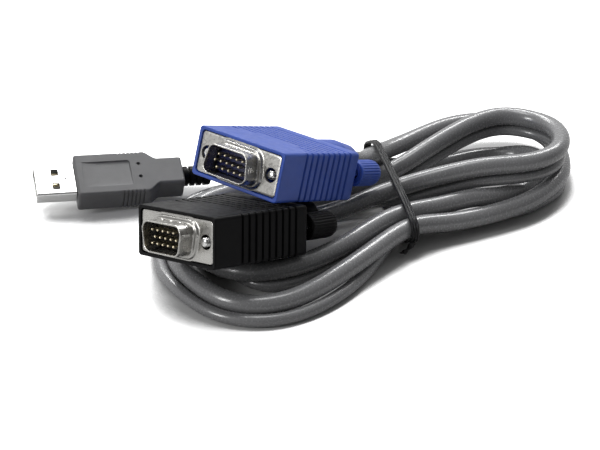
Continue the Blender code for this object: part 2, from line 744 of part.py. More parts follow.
def make_tie(make, video, usb):
    """A flat strip drawn round every strand that passes it."""
    heading = np.array((math.cos(TIE_HEADING), math.sin(TIE_HEADING), 0.0))
    across = np.array((math.sin(TIE_HEADING), -math.cos(TIE_HEADING), 0.0))
    rings = crossings(video, VIDEO_CORD_RADIUS, across, heading)
    rings += crossings(usb, USB_CORD_RADIUS, across, heading)
    rings = np.array(rings)
    outlines = []
    for growth in (TIE_CLEAR + TIE_THICKNESS, TIE_CLEAR):
        outline = []
        for angle in np.linspace(0.0, 2 * math.pi, TIE_POINTS, endpoint=False):
            aim = np.array((math.cos(angle), math.sin(angle)))
            widest = rings[np.argmax(rings[:, :2] @ aim + rings[:, 2])]
            outline.append(tuple(widest[:2] + (widest[2] + growth) * aim))
        outlines.append(outline)
    turn = Matrix((
        (across[0], 0, -heading[0], TIE_MIDDLE[0]),
        (across[1], 0, -heading[1], TIE_MIDDLE[1]),
        (across[2], 1, -heading[2], 0),
        (0, 0, 0, 1)))
    make.plate("tie", outlines, -TIE_WIDTH / 2, TIE_WIDTH / 2, "tie_strip", None, turn)


def main():
    """Builds the cable."""
    clear_scene()
    make = Maker()
    blue = make_video_plug(make, "blue", BLUE_PLUG, BLUE_FLOAT, BLUE_WIDE_SIDE)
    black = make_video_plug(make, "black", BLACK_PLUG, BLACK_FLOAT, BLACK_WIDE_SIDE)
    usb_frame = make_usb_plug(make)
    video, usb = cord_routes(blue, black, usb_frame)
    make.cord("video_cord", video, VIDEO_CORD_RADIUS, 3)
    make.cord("usb_cord", usb, USB_CORD_RADIUS, 2)
    make_tie(make, video, usb)
    for thing in make.parts.objects:
        if thing.type == "MESH":
            thing.data.shade_smooth()
            thing.data.set_sharp_from_angle(angle=math.radians(35))
    bpy.context.view_layer.update()


main()
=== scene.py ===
"""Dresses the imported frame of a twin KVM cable: two cords, three moulded plugs with their metal faces,
pins and thumbscrews, a ribbed tie, and a white floor with soft lamps and the camera.

Lengths are in metres. A plug's own space has +X out of its mouth, +Y across and +Z to its top.
"""
import json
import math

import bpy
import numpy as np
from mathutils import Matrix, Vector

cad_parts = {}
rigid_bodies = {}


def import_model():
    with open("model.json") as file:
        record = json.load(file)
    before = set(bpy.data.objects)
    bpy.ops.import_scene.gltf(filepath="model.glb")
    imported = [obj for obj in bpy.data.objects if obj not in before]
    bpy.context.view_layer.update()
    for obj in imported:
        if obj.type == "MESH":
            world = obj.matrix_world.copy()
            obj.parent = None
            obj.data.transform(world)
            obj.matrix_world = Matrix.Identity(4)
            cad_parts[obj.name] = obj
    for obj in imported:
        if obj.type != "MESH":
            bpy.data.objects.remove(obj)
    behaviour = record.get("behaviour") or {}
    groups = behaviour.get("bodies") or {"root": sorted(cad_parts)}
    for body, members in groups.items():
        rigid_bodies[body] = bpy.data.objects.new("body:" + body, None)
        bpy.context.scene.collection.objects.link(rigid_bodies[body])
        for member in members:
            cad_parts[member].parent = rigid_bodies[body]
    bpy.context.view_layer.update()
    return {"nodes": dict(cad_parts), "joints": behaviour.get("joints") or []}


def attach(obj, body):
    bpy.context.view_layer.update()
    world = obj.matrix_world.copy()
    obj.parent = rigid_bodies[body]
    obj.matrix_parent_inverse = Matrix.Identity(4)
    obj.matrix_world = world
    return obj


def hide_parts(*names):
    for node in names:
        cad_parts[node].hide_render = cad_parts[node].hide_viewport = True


for leftover in list(bpy.data.objects):
    bpy.data.objects.remove(leftover)
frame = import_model()

bl_info = {
    "name": "KVM cable finish",
    "version": (1, 0, 0),
    "blender": (4, 5, 0),
    "location": "View3D > Sidebar > Cable",
    "description": "Builds the finished surfaces of a twin KVM cable around its packed frame",
    "category": "Object",
}

CLEAR = 0.0003
CORD_LEAD = 0.0060
CORD_SPREAD = 0.0017
CORD_START_LEAN = math.radians(60)
CORD_POINTS = 78
FINE_STEP = 0.0011
PINS_PER_ROW = 5
RIB_COUNT = 9
# The loaded frame has materials under the plain names, so those made here end in a word of their own.
FINISH_ENDING = "_finish"
USB_CONTACTS = 4
SIDES = ("left", "right")
CORD_SIDES = 28
KNOB_SIDES = 224
KNOB_RIDGES = 28
RIDGE_DEPTH = 0.00016
SCREW_SIDES = 40
THREAD_DEPTH = 0.00026
SHROUD_LEAN = math.radians(10)
# The dimples on the shroud: their places across it, distance from the flange, height and spread
DIMPLE_PLACES = (-0.0038, 0.0, 0.0038)
DIMPLE_X = 0.0021
DIMPLE_HEIGHT = 0.00030
DIMPLE_SPREAD = 0.00042

# The floor: the glow that only the camera sees; how near things have to be to take it away, a painted
# contact shadow; how far round to look for strands that close the floor in, where painted shade goes;
# and the paint that every other ray meets, so that the floor throws less light up at the cable, which
# the camera also sees as painted shade where strands close the floor in
FLOOR_GLOW = 0.78
FLOOR_SHADOW_NEAR = 0.022
FLOOR_SHADE_AROUND = 0.10
FLOOR_BOUNCE_AND_SHADE_PAINT = 0.50

# The photograph's view: what the middle of the picture shows, and how far and steep the camera looks
VIEW_TARGET = Vector((-0.0015, 0.0012, 0.0))
VIEW_DISTANCE = 0.537
VIEW_ELEVATION = math.radians(30)
VIEW_LENS = 102.06
VIEW_SHIFT = 0.0022
SENSOR = 36.0

# The USB plug's pose: the middle of its body's front face, heading, pitch and roll in degrees
USB_PLUG = ((-0.0732, 0.0127, 0.0094), -165.2, 4.1, -23.0)

# The tie's middle on the floor and its heading along the cords
TIE_MIDDLE = np.array((0.0285, 0.0032, 0.0))
TIE_HEADING = math.radians(13.6)
TIE_REACH = 0.0400
TIE_CLEAR = 0.0005

# The video cord's route while both cords run together. Each row is a point on its middle and the
# lean, in degrees, of the USB cord from hanging straight below it towards the left of the run.
TOGETHER = (
    (0.0220, 0.0229, 0.0137, 64),
    (0.0262, 0.0290, 0.0125, 70),
    (0.0355, 0.0382, 0.0118, 62),
    (0.0460, 0.0457, 0.0125, 60),
    (0.0570, 0.0512, 0.0120, 60),
    (0.0685, 0.0537, 0.0105, 50),
    (0.0780, 0.0512, 0.0095, 35),
    (0.0830, 0.0442, 0.0085, 15),
    (0.0845, 0.0342, 0.0075, 0),
    (0.0830, 0.0232, 0.0072, 0),
    (0.0780, 0.0137, 0.0070, -15),
    (0.0710, 0.0062, 0.0066, -30),
    (0.0620, 0.0007, 0.0060, -45),
    (0.0515, -0.0043, 0.0060, -45),
    (0.0420, -0.0083, 0.0068, -45),
    (0.0330, -0.0128, 0.0080, -45),
    (0.0225, -0.0238, 0.0077, -10),
    (0.0110, -0.0373, 0.0067, 30),
    (-0.0010, -0.0478, 0.0053, 50),
    (-0.0120, -0.0518, 0.0046, 60),
    (-0.0225, -0.0493, 0.0045, 60),
    (-0.0315, -0.0403, 0.0045, 60),
    (-0.0380, -0.0278, 0.0040, 67),
    (-0.0400, -0.0148, 0.0038, 69),
    (-0.0395, -0.0023, 0.0036, 72),
    (-0.0350, 0.0082, 0.0033, 75),
    (-0.0265, 0.0157, 0.0033, 75),
    (-0.0135, 0.0212, 0.0033, 75),
    (0.0025, 0.0257, 0.0035, 75),
    (0.0165, 0.0287, 0.0053, 76),
    (0.0295, 0.0312, 0.0053, 76),
    (0.0445, 0.0367, 0.0033, 75),
    (0.0575, 0.0417, 0.0033, 75),
    (0.0660, 0.0427, 0.0036, 72),
    (0.0730, 0.0397, 0.0056, 50),
    (0.0770, 0.0327, 0.0072, 15),
    (0.0765, 0.0242, 0.0072, -15),
    (0.0725, 0.0167, 0.0066, -45),
    (0.0670, 0.0110, 0.0068, -60),
    (0.0600, 0.0061, 0.0081, -55),
    (0.0515, 0.0019, 0.0096, -50),
    (0.0420, -0.0023, 0.0095, -55),
    (0.0320, -0.0063, 0.0095, -55),
    (0.0235, -0.0128, 0.0095, -40),
    (0.0155, -0.0208, 0.0086, -10),
    (0.0070, -0.0283, 0.0079, 0),
    (-0.0015, -0.0338, 0.0073, 5),
    (-0.0105, -0.0373, 0.0072, 0),
    (-0.0195, -0.0363, 0.0064, -35),
    (-0.0265, -0.0303, 0.0048, -58),
    (-0.0313, -0.0213, 0.0032, -76),
    (-0.0319, -0.0113, 0.0032, -76),
    (-0.0275, -0.0018, 0.0033, -75),
    (-0.0195, 0.0052, 0.0033, -75),
    (-0.0075, 0.0097, 0.0033, -75),
    (0.0045, 0.0122, 0.0035, -74),
    (0.0155, 0.0157, 0.0061, -50),
    (0.0285, 0.0212, 0.0095, -15),
    (0.0370, 0.0262, 0.0125, 0),
    (0.0460, 0.0332, 0.0150, 0),
    (0.0555, 0.0407, 0.0165, 0),
    (0.0655, 0.0452, 0.0170, 0),
    (0.0745, 0.0432, 0.0170, 0),
    (0.0810, 0.0367, 0.0174, 0),
    (0.0830, 0.0282, 0.0176, 0),
    (0.0805, 0.0192, 0.0176, 0),
    (0.0740, 0.0132, 0.0174, 0),
    (0.0655, 0.0102, 0.0175, 0),
    (0.0550, 0.0082, 0.0174, 0),
    (0.0425, 0.0062, 0.0155, 0),
    (0.0305, 0.0057, 0.0119, 0),
)
# The last of each cord's route, on its own, up to its plug
VIDEO_TAIL = (
    (0.0205, 0.0024, 0.0096),
    (0.0125, -0.0022, 0.0086),
)
USB_TAIL = (
    (0.0205, 0.0088, 0.0047),
    (0.0105, 0.0052, 0.0065),
    (0.0005, 0.0047, 0.0080),
    (-0.0075, 0.0112, 0.0090),
    (-0.0140, 0.0182, 0.0090),
    (-0.0190, 0.0232, 0.0077),
)


def length(name, description, default):
    """A size that a user can change."""
    return bpy.props.FloatProperty(
        name=name, description=description, default=default, min=0.0, unit="LENGTH", precision=5)


def colour(name, description, default):
    """A colour that a user can change."""
    return bpy.props.FloatVectorProperty(
        name=name, description=description, default=default, size=3, min=0.0, max=1.0, subtype="COLOR")


class CableSizes(bpy.types.PropertyGroup):
    """Sizes of the cords, plugs and tie."""

    video_radius: length("Video cord radius", "Radius of the thick cord", 0.00295)
    usb_radius: length("USB cord radius", "Radius of the thin cord", 0.0019)
    cord_gap: length("Cord gap", "Gap between the cords and at their ends", 0.0003)
    hood_width: length("Hood width", "Width of a video plug's hood", 0.0334)
    hood_height: length("Hood height", "Height of a video plug's hood", 0.0150)
    hood_length: length("Hood length", "Length of a video plug's hood", 0.0362)
    hood_edge: length("Hood edge", "Radius of the hood's rounded edges", 0.0011)
    hood_rim: length("Hood rim", "How far the hood stands past the metal face", 0.0004)
    rib_pitch: length("Rib pitch", "Distance from one side rib to the next", 0.00264)
    rib_groove: length("Rib groove", "Width of the groove between ribs", 0.0010)
    rib_depth: length("Rib depth", "Depth of the groove between ribs", 0.0006)
    rib_rear_band: length("Rear band", "Plain band behind the ribs", 0.00445)
    boot_length: length("Boot length", "Length of the boot behind the hood", 0.0165)
    boot_root_length: length("Boot root", "Length of the boot's straight part", 0.0085)
    boot_root_radius: length("Boot root radius", "Radius of the boot at the hood", 0.0072)
    boot_end_radius: length("Boot end radius", "Radius of the boot at the cord", 0.0055)
    flange_width: length("Flange width", "Width of the metal face", 0.0308)
    flange_height: length("Flange height", "Height of the metal face", 0.0125)
    flange_thickness: length("Flange thickness", "Thickness of the metal face", 0.0010)
    flange_corner: length("Flange corner", "Corner radius of the metal face", 0.0012)
    flange_hole: length("Flange hole", "Radius of the screw hole in the face", 0.0022)
    shroud_width: length("Shroud width", "Width of the D-shaped shroud", 0.0179)
    shroud_height: length("Shroud height", "Height of the D-shaped shroud", 0.0093)
    shroud_depth: length("Shroud depth", "How far the shroud stands out", 0.0060)
    shroud_wall: length("Shroud wall", "Wall of the shroud", 0.0005)
    shroud_corner: length("Shroud corner", "Corner radius of the shroud", 0.0026)
    insulator_face: length("Insulator face", "How far the insulator stands out", 0.0008)
    pin_radius: length("Pin radius", "Radius of a pin", 0.00038)
    pin_reach: length("Pin reach", "How far a pin stands out", 0.0050)
    pin_pitch: length("Pin pitch", "Distance between pins of a row", 0.00229)
    pin_rows: length("Pin rows", "Distance between rows of pins", 0.00198)
    screw_spacing: length("Screw spacing", "Distance between the thumbscrews", 0.0250)
    screw_radius: length("Screw radius", "Radius of a screw", 0.0014)
    screw_length: length("Screw length", "Length of a screw", 0.0440)
    thread_pitch: length("Thread pitch", "Pitch of the screw's thread", 0.000635)
    knob_radius: length("Knob radius", "Radius of a knob", 0.0041)
    knob_length: length("Knob length", "Length of a knob", 0.0118)
    knob_grip: length("Knob grip", "Depth of the screw's hole in a knob", 0.0044)
    blue_float: length("Blue float", "Gap between the blue hood and its knobs", 0.0034)
    black_float: length("Black float", "Gap between the black hood and its knobs", 0.0026)
    usb_width: length("USB body width", "Width of the USB plug's body", 0.0165)
    usb_height: length("USB body height", "Height of the USB plug's body", 0.0082)
    usb_length: length("USB body length", "Length of the USB plug's body", 0.0346)
    usb_main: length("USB wide part", "Length of the body's wide part", 0.0226)
    usb_shoulder: length("USB shoulder", "Length over which the body narrows", 0.0038)
    usb_neck: length("USB neck width", "Width of the body's neck", 0.0105)
    usb_edge: length("USB edge", "Radius of the body's rounded edges", 0.0008)
    usb_boot_length: length("USB boot length", "Length of the strain relief", 0.0090)
    usb_boot_radius: length("USB boot radius", "Radius of the strain relief", 0.0032)
    usb_boot_groove: length("USB boot groove", "Radius between its rings", 0.0025)
    usb_shell_width: length("USB shell width", "Width of the metal shell", 0.0120)
    usb_shell_height: length("USB shell height", "Height of the metal shell", 0.0045)
    usb_shell_length: length("USB shell length", "Length of the metal shell", 0.0125)
    usb_shell_wall: length("USB shell wall", "Wall of the metal shell", 0.0003)
    usb_shell_corner: length("USB shell corner", "Corner radius of the metal shell", 0.0007)
    latch_width: length("Latch hole width", "Width of a latch hole in the shell", 0.0027)
    latch_length: length("Latch hole length", "Length of a latch hole in the shell", 0.0024)
    tie_width: length("Tie width", "Width of the tie's strip", 0.0026)
    tie_thickness: length("Tie thickness", "Thickness of the tie's strip", 0.0008)


class CableColours(bpy.types.PropertyGroup):
    """Colours of the finishes and the floor."""

    blue_moulding: colour("Blue moulding", "Switch-end plug", (0.024, 0.070, 0.360))
    black_moulding: colour("Black moulding", "Computer-end plug", (0.004, 0.004, 0.0045))
    grey_moulding: colour("Grey moulding", "USB plug's body", (0.085, 0.085, 0.088))
    nickel: colour("Nickel", "Metal faces of the video plugs", (0.55, 0.54, 0.515))
    bright_steel: colour("Bright steel", "USB shell and screws", (0.86, 0.86, 0.85))
    gold: colour("Thin gold", "Pins and contacts", (0.90, 0.80, 0.58))
    navy_insulator: colour("Navy insulator", "Insulator of the blue plug", (0.006, 0.009, 0.055))
    black_insulator: colour("Black insulator", "Insulator of the black plug", (0.004, 0.004, 0.005))
    white_tongue: colour("White tongue", "Tongue in the USB shell", (0.78, 0.78, 0.76))
    cord_jacket: colour("Cord jacket", "Both cords", (0.160, 0.161, 0.165))
    tie_strip: colour("Tie strip", "The tie", (0.013, 0.013, 0.014))
    floor: colour("Floor", "Floor under the cable", (0.86, 0.86, 0.86))


def plug_space(plug):
    """Matrix of a plug's own space. A video plug's comes from its two thumbscrews' joints."""
    if plug == "usb":
        place, heading, pitch, roll = USB_PLUG
        turn = Matrix.Rotation(math.radians(heading), 4, "Z")
        turn = turn @ Matrix.Rotation(math.radians(-pitch), 4, "Y")
        turn = turn @ Matrix.Rotation(math.radians(roll), 4, "X")
        return np.array(Matrix.Translation(place) @ turn)
    joints = {joint["name"]: joint for joint in frame["joints"]}
    left, right = (Vector(joints["%s_%s_turn" % (plug, side)]["pos_m"]) for side in SIDES)
    out = Vector(joints[plug + "_left_turn"]["axis"]).normalized()
    across = right - left
    across = (across - out * across.dot(out)).normalized()
    space = np.eye(4)
    space[:3, 0], space[:3, 1], space[:3, 2] = out, across, out.cross(across)
    space[:3, 3] = (left + right) / 2
    return space


def placed(points, space):
    """Points of a plug's own space, in the frame."""
    return points @ space[:3, :3].T + space[:3, 3]


def smooth_step(value):
    """Runs from 0 to 1 with level ends, as 3t squared minus 2t cubed."""
    t = np.clip(value, 0.0, 1.0)
    return t * t * (3 - 2 * t)


def grid_faces(rows, columns, wrap_rows, wrap_columns):
    """Quads of a grid of points, four neighbours each, closed in either direction if asked."""
    r = np.arange(rows if wrap_rows else rows - 1)[:, None]
    c = np.arange(columns if wrap_columns else columns - 1)[None, :]
    next_r = (r + 1) % rows
    next_c = (c + 1) % columns
    quads = [r * columns + c, r * columns + next_c, next_r * columns + next_c, next_r * columns + c]
    return np.stack(np.broadcast_arrays(*quads), axis=-1).reshape(-1, 4)


def skin(rings, loop=False):
    """A closed surface through rings of points: caps at both ends, or the last ring joined to the first."""
    rows, columns = rings.shape[:2]
    faces = grid_faces(rows, columns, loop, True).tolist()
    if not loop:
        faces.append(list(range(columns))[::-1])
        faces.append(list(range((rows - 1) * columns, rows * columns)))
    return rings.reshape(-1, 3), faces


def turned(profile, sides, offset=(0.0, 0.0)):
    """A profile of (x, radius) turned about the plug's X: y and z are radius times cosine and sine."""
    profile = np.asarray(profile, float)
    angles = np.linspace(0.0, 2 * np.pi, sides, endpoint=False)
    x = np.broadcast_to(profile[:, :1], (len(profile), sides))
    y = offset[0] + profile[:, 1:] * np.cos(angles)
    z = offset[1] + profile[:, 1:] * np.sin(angles)
    return np.stack([x, y, z], axis=-1)


def at_x(x, ring):
    """A flat ring of (y, z) points, stood up at one x."""
    return np.concatenate([np.full((len(ring), 1), x), ring], axis=-1)


def box_corners(a, b):
    """Corners of a rectangle with half width a and half height b."""
    return [(-a, -b), (a, -b), (a, b), (-a, b)]


def filleted(corners, radii, steps=6):
    """An open line with its inner corners rounded. Each arc's middle is on the corner's bisector."""
    corners = np.asarray(corners, float)
    line = [corners[:1]]
    for before, corner, after, radius in zip(corners[:-2], corners[1:-1], corners[2:], radii):
        back = (before - corner) / np.linalg.norm(before - corner)
        ahead = (after - corner) / np.linalg.norm(after - corner)
        half = math.acos(np.clip(back @ ahead, -1, 1)) / 2
        middle = corner + (back + ahead) / np.linalg.norm(back + ahead) * radius / math.sin(half)
        first = corner + back * radius / math.tan(half) - middle
        last = corner + ahead * radius / math.tan(half) - middle
        spread = math.pi - 2 * half
        share = np.linspace(0, 1, steps + 1)[:, None]
        arc = (first * np.sin((1 - share) * spread) + last * np.sin(share * spread)) / math.sin(spread)
        line.append(middle + arc)
    line.append(corners[-1:])
    return np.concatenate(line)


def rounded_section(half_width, half_height, radius, columns):
    """A rounded rectangle's points and outward directions, with the same columns at every size.

    The columns say how many points lie along the wide side, the high side and each corner's arc."""
    wide, high, arc = columns
    places = []
    ways = []
    for k in range(4):
        turn = np.array(((math.cos(k * np.pi / 2), -math.sin(k * np.pi / 2)),
                         (math.sin(k * np.pi / 2), math.cos(k * np.pi / 2))))
        a, b, count = (half_width, half_height, high) if k % 2 == 0 else (half_height, half_width, wide)
        side = np.linspace(-(b - radius), b - radius, count)
        places.append(np.stack([np.full(count, a), side], axis=-1) @ turn.T)
        ways.append(np.broadcast_to(np.array((1.0, 0.0)) @ turn.T, (count, 2)))
        angle = np.linspace(0, np.pi / 2, arc + 2)[1:-1]
        way = np.stack([np.cos(angle), np.sin(angle)], axis=-1)
        places.append((np.array((a - radius, b - radius)) + radius * way) @ turn.T)
        ways.append(way @ turn.T)
    return np.concatenate(places), np.concatenate(ways)


def by_angle(outline, angles):
    """Where rays at the given angles meet a closed outline round the origin."""
    closed = np.concatenate([outline, outline[:1]])
    share = np.linspace(0, 1, 40, endpoint=False)[None, :, None]
    dense = (closed[:-1, None] * (1 - share) + closed[1:, None] * share).reshape(-1, 2)
    turn = np.arctan2(dense[:, 1], dense[:, 0]) % (2 * np.pi)
    order = np.argsort(turn)
    reach = np.interp(angles, turn[order], np.hypot(*dense[order].T), period=2 * np.pi)
    return np.stack([reach * np.cos(angles), reach * np.sin(angles)], axis=-1)


def ring_outline(corners, radius, steps=8):
    """A closed outline with every corner rounded."""
    corners = np.asarray(corners, float)
    middle = (corners[:1] + corners[-1:]) / 2
    return filleted(np.concatenate([middle, corners, middle]), [radius] * len(corners), steps)[:-1]


def shroud_outline(sizes, inset):
    """The D shape with its wide side up, grown or shrunk all round."""
    lean = math.tan(SHROUD_LEAN)
    h = sizes.shroud_height / 2 - inset
    middle = sizes.shroud_width / 2 - sizes.shroud_height / 2 * lean - inset / math.cos(SHROUD_LEAN)
    top = middle + h * lean
    bottom = middle - h * lean
    return ring_outline([(-bottom, -h), (bottom, -h), (top, h), (-top, h)], sizes.shroud_corner - inset)


def new_mesh(name, shapes, uv=None):
    """One mesh of several (points, faces) shapes, wound so that its volume is positive."""
    points = []
    faces = []
    for shape_points, shape_faces in shapes:
        start = sum(len(p) for p in points)
        points.append(shape_points)
        faces += [[start + k for k in face] for face in shape_faces]
    points = np.concatenate(points)
    mesh = bpy.data.meshes.new(name)
    mesh.from_pydata(points.tolist(), [], faces)
    if uv is not None:
        mesh.uv_layers.new(name="along").data.foreach_set("uv", uv.astype(np.float32).ravel())
    mesh.update()
    mesh.calc_loop_triangles()
    corners = np.empty(len(mesh.loop_triangles) * 3, np.int32)
    mesh.loop_triangles.foreach_get("vertices", corners)
    a, b, c = (points[corners.reshape(-1, 3)[:, k]] for k in range(3))
    if np.einsum("ij,ij->i", a, np.cross(b, c)).sum() < 0:
        mesh.flip_normals()
    return mesh


def moved_copy(mesh, name, space):
    """A copy of a mesh, taken from a plug's own space into the frame."""
    copy = mesh.copy()
    copy.name = name
    copy.transform(Matrix(space.tolist()))
    return copy


def add_piece(name, mesh, finish, body, nodes, angle=40):
    """Links a piece, gives it its finish, hangs it on the body it rides on and hides the CAD nodes it stands
    for.
    """
    mesh.materials.clear()
    mesh.materials.append(bpy.data.materials[finish + FINISH_ENDING])
    mesh.shade_smooth()
    mesh.set_sharp_from_angle(angle=math.radians(angle))
    piece = bpy.data.objects.new(name, mesh)
    bpy.context.scene.collection.objects.link(piece)
    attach(piece, body)
    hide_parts(*nodes)
    return piece


def combined(mesh, steps):
    """The mesh after Booleans with other meshes, each step an operation and a mesh."""
    scene = bpy.context.scene.collection
    target = bpy.data.objects.new("target", mesh)
    scene.objects.link(target)
    tools = []
    for operation, tool_mesh in steps:
        tool = bpy.data.objects.new("tool", tool_mesh)
        scene.objects.link(tool)
        step = target.modifiers.new("step", "BOOLEAN")
        step.operation = operation
        step.object = tool
        step.solver = "EXACT"
        tools.append(tool)
    bpy.context.view_layer.update()
    made = bpy.data.meshes.new_from_object(target.evaluated_get(bpy.context.evaluated_depsgraph_get()))
    for thing in [target, *tools]:
        bpy.data.objects.remove(thing)
    return made


def refined(node, name, finish, body, edge):
    """A merged copy of a CAD node with its edges rounded."""
    mesh = frame["nodes"][node].data.copy()
    mesh.name = name
    piece = add_piece(name, mesh, finish, body, [node], 30)
    weld = piece.modifiers.new("weld", "WELD")
    weld.merge_threshold = 0.000002
    rounding = piece.modifiers.new("edges", "BEVEL")
    rounding.width = edge
    rounding.segments = 2
    rounding.limit_method = "ANGLE"
    rounding.angle_limit = math.radians(40)
    return piece


class Finish:
    """A procedural material: a Principled shader with grain from noise on the object's place."""

    def __init__(self, name, base, roughness, metallic=0.0, specular=0.5):
        self.material = bpy.data.materials.new(name + FINISH_ENDING)
        self.material.use_nodes = True
        self.material.diffuse_color = (*base, 1.0)
        self.nodes = self.material.node_tree.nodes
        self.links = self.material.node_tree.links
        self.shader = self.nodes["Principled BSDF"]
        self.shader.inputs["Base Color"].default_value = (*base, 1.0)
        self.shader.inputs["Roughness"].default_value = roughness
        self.shader.inputs["Metallic"].default_value = metallic
        self.shader.inputs["Specular IOR Level"].default_value = specular
        self.base = base
        self.roughness = roughness
        self.coordinates = self.nodes.new("ShaderNodeTexCoord")
        self.normal = None

    def noise(self, scale, detail=2.0, output="Object", stretch=None):
        """Noise of so many cells a metre, or stretched along the piece's own UV map."""
        texture = self.nodes.new("ShaderNodeTexNoise")
        texture.inputs["Scale"].default_value = scale
        texture.inputs["Detail"].default_value = detail
        source = self.coordinates.outputs[output]
        if stretch is not None:
            mapping = self.nodes.new("ShaderNodeMapping")
            mapping.inputs["Scale"].default_value = stretch
            self.links.new(source, mapping.inputs["Vector"])
            source = mapping.outputs["Vector"]
        self.links.new(source, texture.inputs["Vector"])
        return texture.outputs["Fac"]

    def remapped(self, value, low, high):
        """The noise's middle range taken to low and high."""
        node = self.nodes.new("ShaderNodeMapRange")
        node.inputs["From Min"].default_value = 0.3
        node.inputs["From Max"].default_value = 0.7
        node.inputs["To Min"].default_value = low
        node.inputs["To Max"].default_value = high
        self.links.new(value, node.inputs["Value"])
        return node.outputs["Result"]

    def mottled(self, value, spread):
        """Varies the base colour by a share, up and down."""
        node = self.nodes.new("ShaderNodeMix")
        node.data_type = "RGBA"
        node.inputs["A"].default_value = (*[min(1.0, c * (1 - spread)) for c in self.base], 1.0)
        node.inputs["B"].default_value = (*[min(1.0, c * (1 + spread)) for c in self.base], 1.0)
        self.links.new(self.remapped(value, 0.0, 1.0), node.inputs["Factor"])
        self.links.new(node.outputs["Result"], self.shader.inputs["Base Color"])

    def paint_hollow_shade(self, distance, low):
        """Paints shade into the colour in hollows, darker by how much is near the surface."""
        near = self.nodes.new("ShaderNodeAmbientOcclusion")
        near.only_local = True
        near.inputs["Distance"].default_value = distance
        share = ranged(self.material.node_tree, near.outputs["AO"], (0.42, 0.92), (low, 1.0))
        node = self.nodes.new("ShaderNodeMix")
        node.data_type = "RGBA"
        node.inputs["A"].default_value = (0.0, 0.0, 0.0, 1.0)
        self.links.new(self.shader.inputs["Base Color"].links[0].from_socket, node.inputs["B"])
        self.links.new(share, node.inputs["Factor"])
        self.links.new(node.outputs["Result"], self.shader.inputs["Base Color"])

    def rough(self, value, spread):
        """Varies the roughness up and down."""
        made = self.remapped(value, self.roughness - spread, self.roughness + spread)
        self.links.new(made, self.shader.inputs["Roughness"])

    def bumped(self, value, strength, distance):
        """Raises the surface by a height in metres."""
        node = self.nodes.new("ShaderNodeBump")
        node.inputs["Strength"].default_value = strength
        node.inputs["Distance"].default_value = distance
        self.links.new(value, node.inputs["Height"])
        if self.normal is not None:
            self.links.new(self.normal, node.inputs["Normal"])
        self.normal = node.outputs["Normal"]
        self.links.new(self.normal, self.shader.inputs["Normal"])


def make_moulding(name, base, roughness, specular, grain):
    """Moulded plastic: a fine spark-eroded grain and slow changes of gloss."""
    made = Finish(name, base, roughness, specular=specular)
    made.mottled(made.noise(220.0, 3.0), 0.07)
    made.rough(made.noise(500.0, 3.0), 0.05)
    made.bumped(made.noise(5200.0, 2.0), grain, 0.00004)


def make_metal(name, base, roughness, spread, grain):
    """Plated metal: fine scuffs in its gloss, a faint rolling grain, and painted shade in its hollows."""
    made = Finish(name, base, roughness, metallic=1.0)
    made.mottled(made.noise(160.0, 4.0), 0.06)
    # Painted shade: the colour goes dark in hollows, such as inside the shroud and round its skirt
    made.paint_hollow_shade(0.004, 0.03)
    made.rough(made.noise(900.0, 5.0), spread)
    made.bumped(made.noise(3000.0, 3.0), grain, 0.00002)


def make_jacket(name, base):
    """Cord jacket: glossy satin, with slow changes of tone and faint extrusion lines along it."""
    made = Finish(name, base, 0.25, specular=0.80)
    made.mottled(made.noise(60.0, 3.0), 0.08)
    lines = made.noise(1.0, 3.0, "UV", (14.0, 26.0, 1.0))
    made.rough(lines, 0.06)
    made.bumped(lines, 0.10, 0.00005)


def make_finishes(colours):
    """Makes every finish of the cable."""
    make_moulding("blue_moulding", colours.blue_moulding, 0.42, 0.45, 0.25)
    make_moulding("black_moulding", colours.black_moulding, 0.40, 0.10, 0.25)
    make_moulding("grey_moulding", colours.grey_moulding, 0.48, 0.40, 0.45)
    make_metal("nickel", colours.nickel, 0.30, 0.08, 0.20)
    make_metal("bright_steel", colours.bright_steel, 0.20, 0.05, 0.10)
    make_metal("gold", colours.gold, 0.36, 0.05, 0.05)
    make_moulding("navy_insulator", colours.navy_insulator, 0.35, 0.40, 0.15)
    make_moulding("black_insulator", colours.black_insulator, 0.35, 0.30, 0.15)
    make_moulding("white_tongue", colours.white_tongue, 0.45, 0.50, 0.10)
    make_moulding("tie_strip", colours.tie_strip, 0.38, 0.25, 0.30)
    make_jacket("cord_jacket", colours.cord_jacket)


class SmoothCurve:
    """Natural cubic curve through points, measured by the summed square roots of their chords."""

    def __init__(self, rows):
        self.rows = np.array(rows, float)
        chords = np.linalg.norm(np.diff(self.rows[:, :3], axis=0), axis=1)
        self.knots = np.concatenate([[0.0], np.cumsum(np.sqrt(chords))])
        self.steps = np.diff(self.knots)
        inner = np.arange(1, len(self.rows) - 1)
        system = np.eye(len(self.rows))
        system[inner, inner - 1] = self.steps[:-1]
        system[inner, inner] = 2 * (self.steps[:-1] + self.steps[1:])
        system[inner, inner + 1] = self.steps[1:]
        slopes = np.diff(self.rows, axis=0) / self.steps[:, None]
        right = np.zeros_like(self.rows)
        right[inner] = 6 * np.diff(slopes, axis=0)
        self.bends = np.linalg.solve(system, right)

    def at(self, places):
        """Points at the given places along the curve."""
        k = np.clip(np.searchsorted(self.knots, places) - 1, 0, len(self.steps) - 1)
        step = self.steps[k][:, None]
        ahead = (self.knots[k + 1] - places)[:, None]
        past = (places - self.knots[k])[:, None]
        bent = (self.bends[k] * ahead**3 + self.bends[k + 1] * past**3) / (6 * step)
        left = (self.rows[k] / step - self.bends[k] * step / 6) * ahead
        right = (self.rows[k + 1] / step - self.bends[k + 1] * step / 6) * past
        return bent + left + right


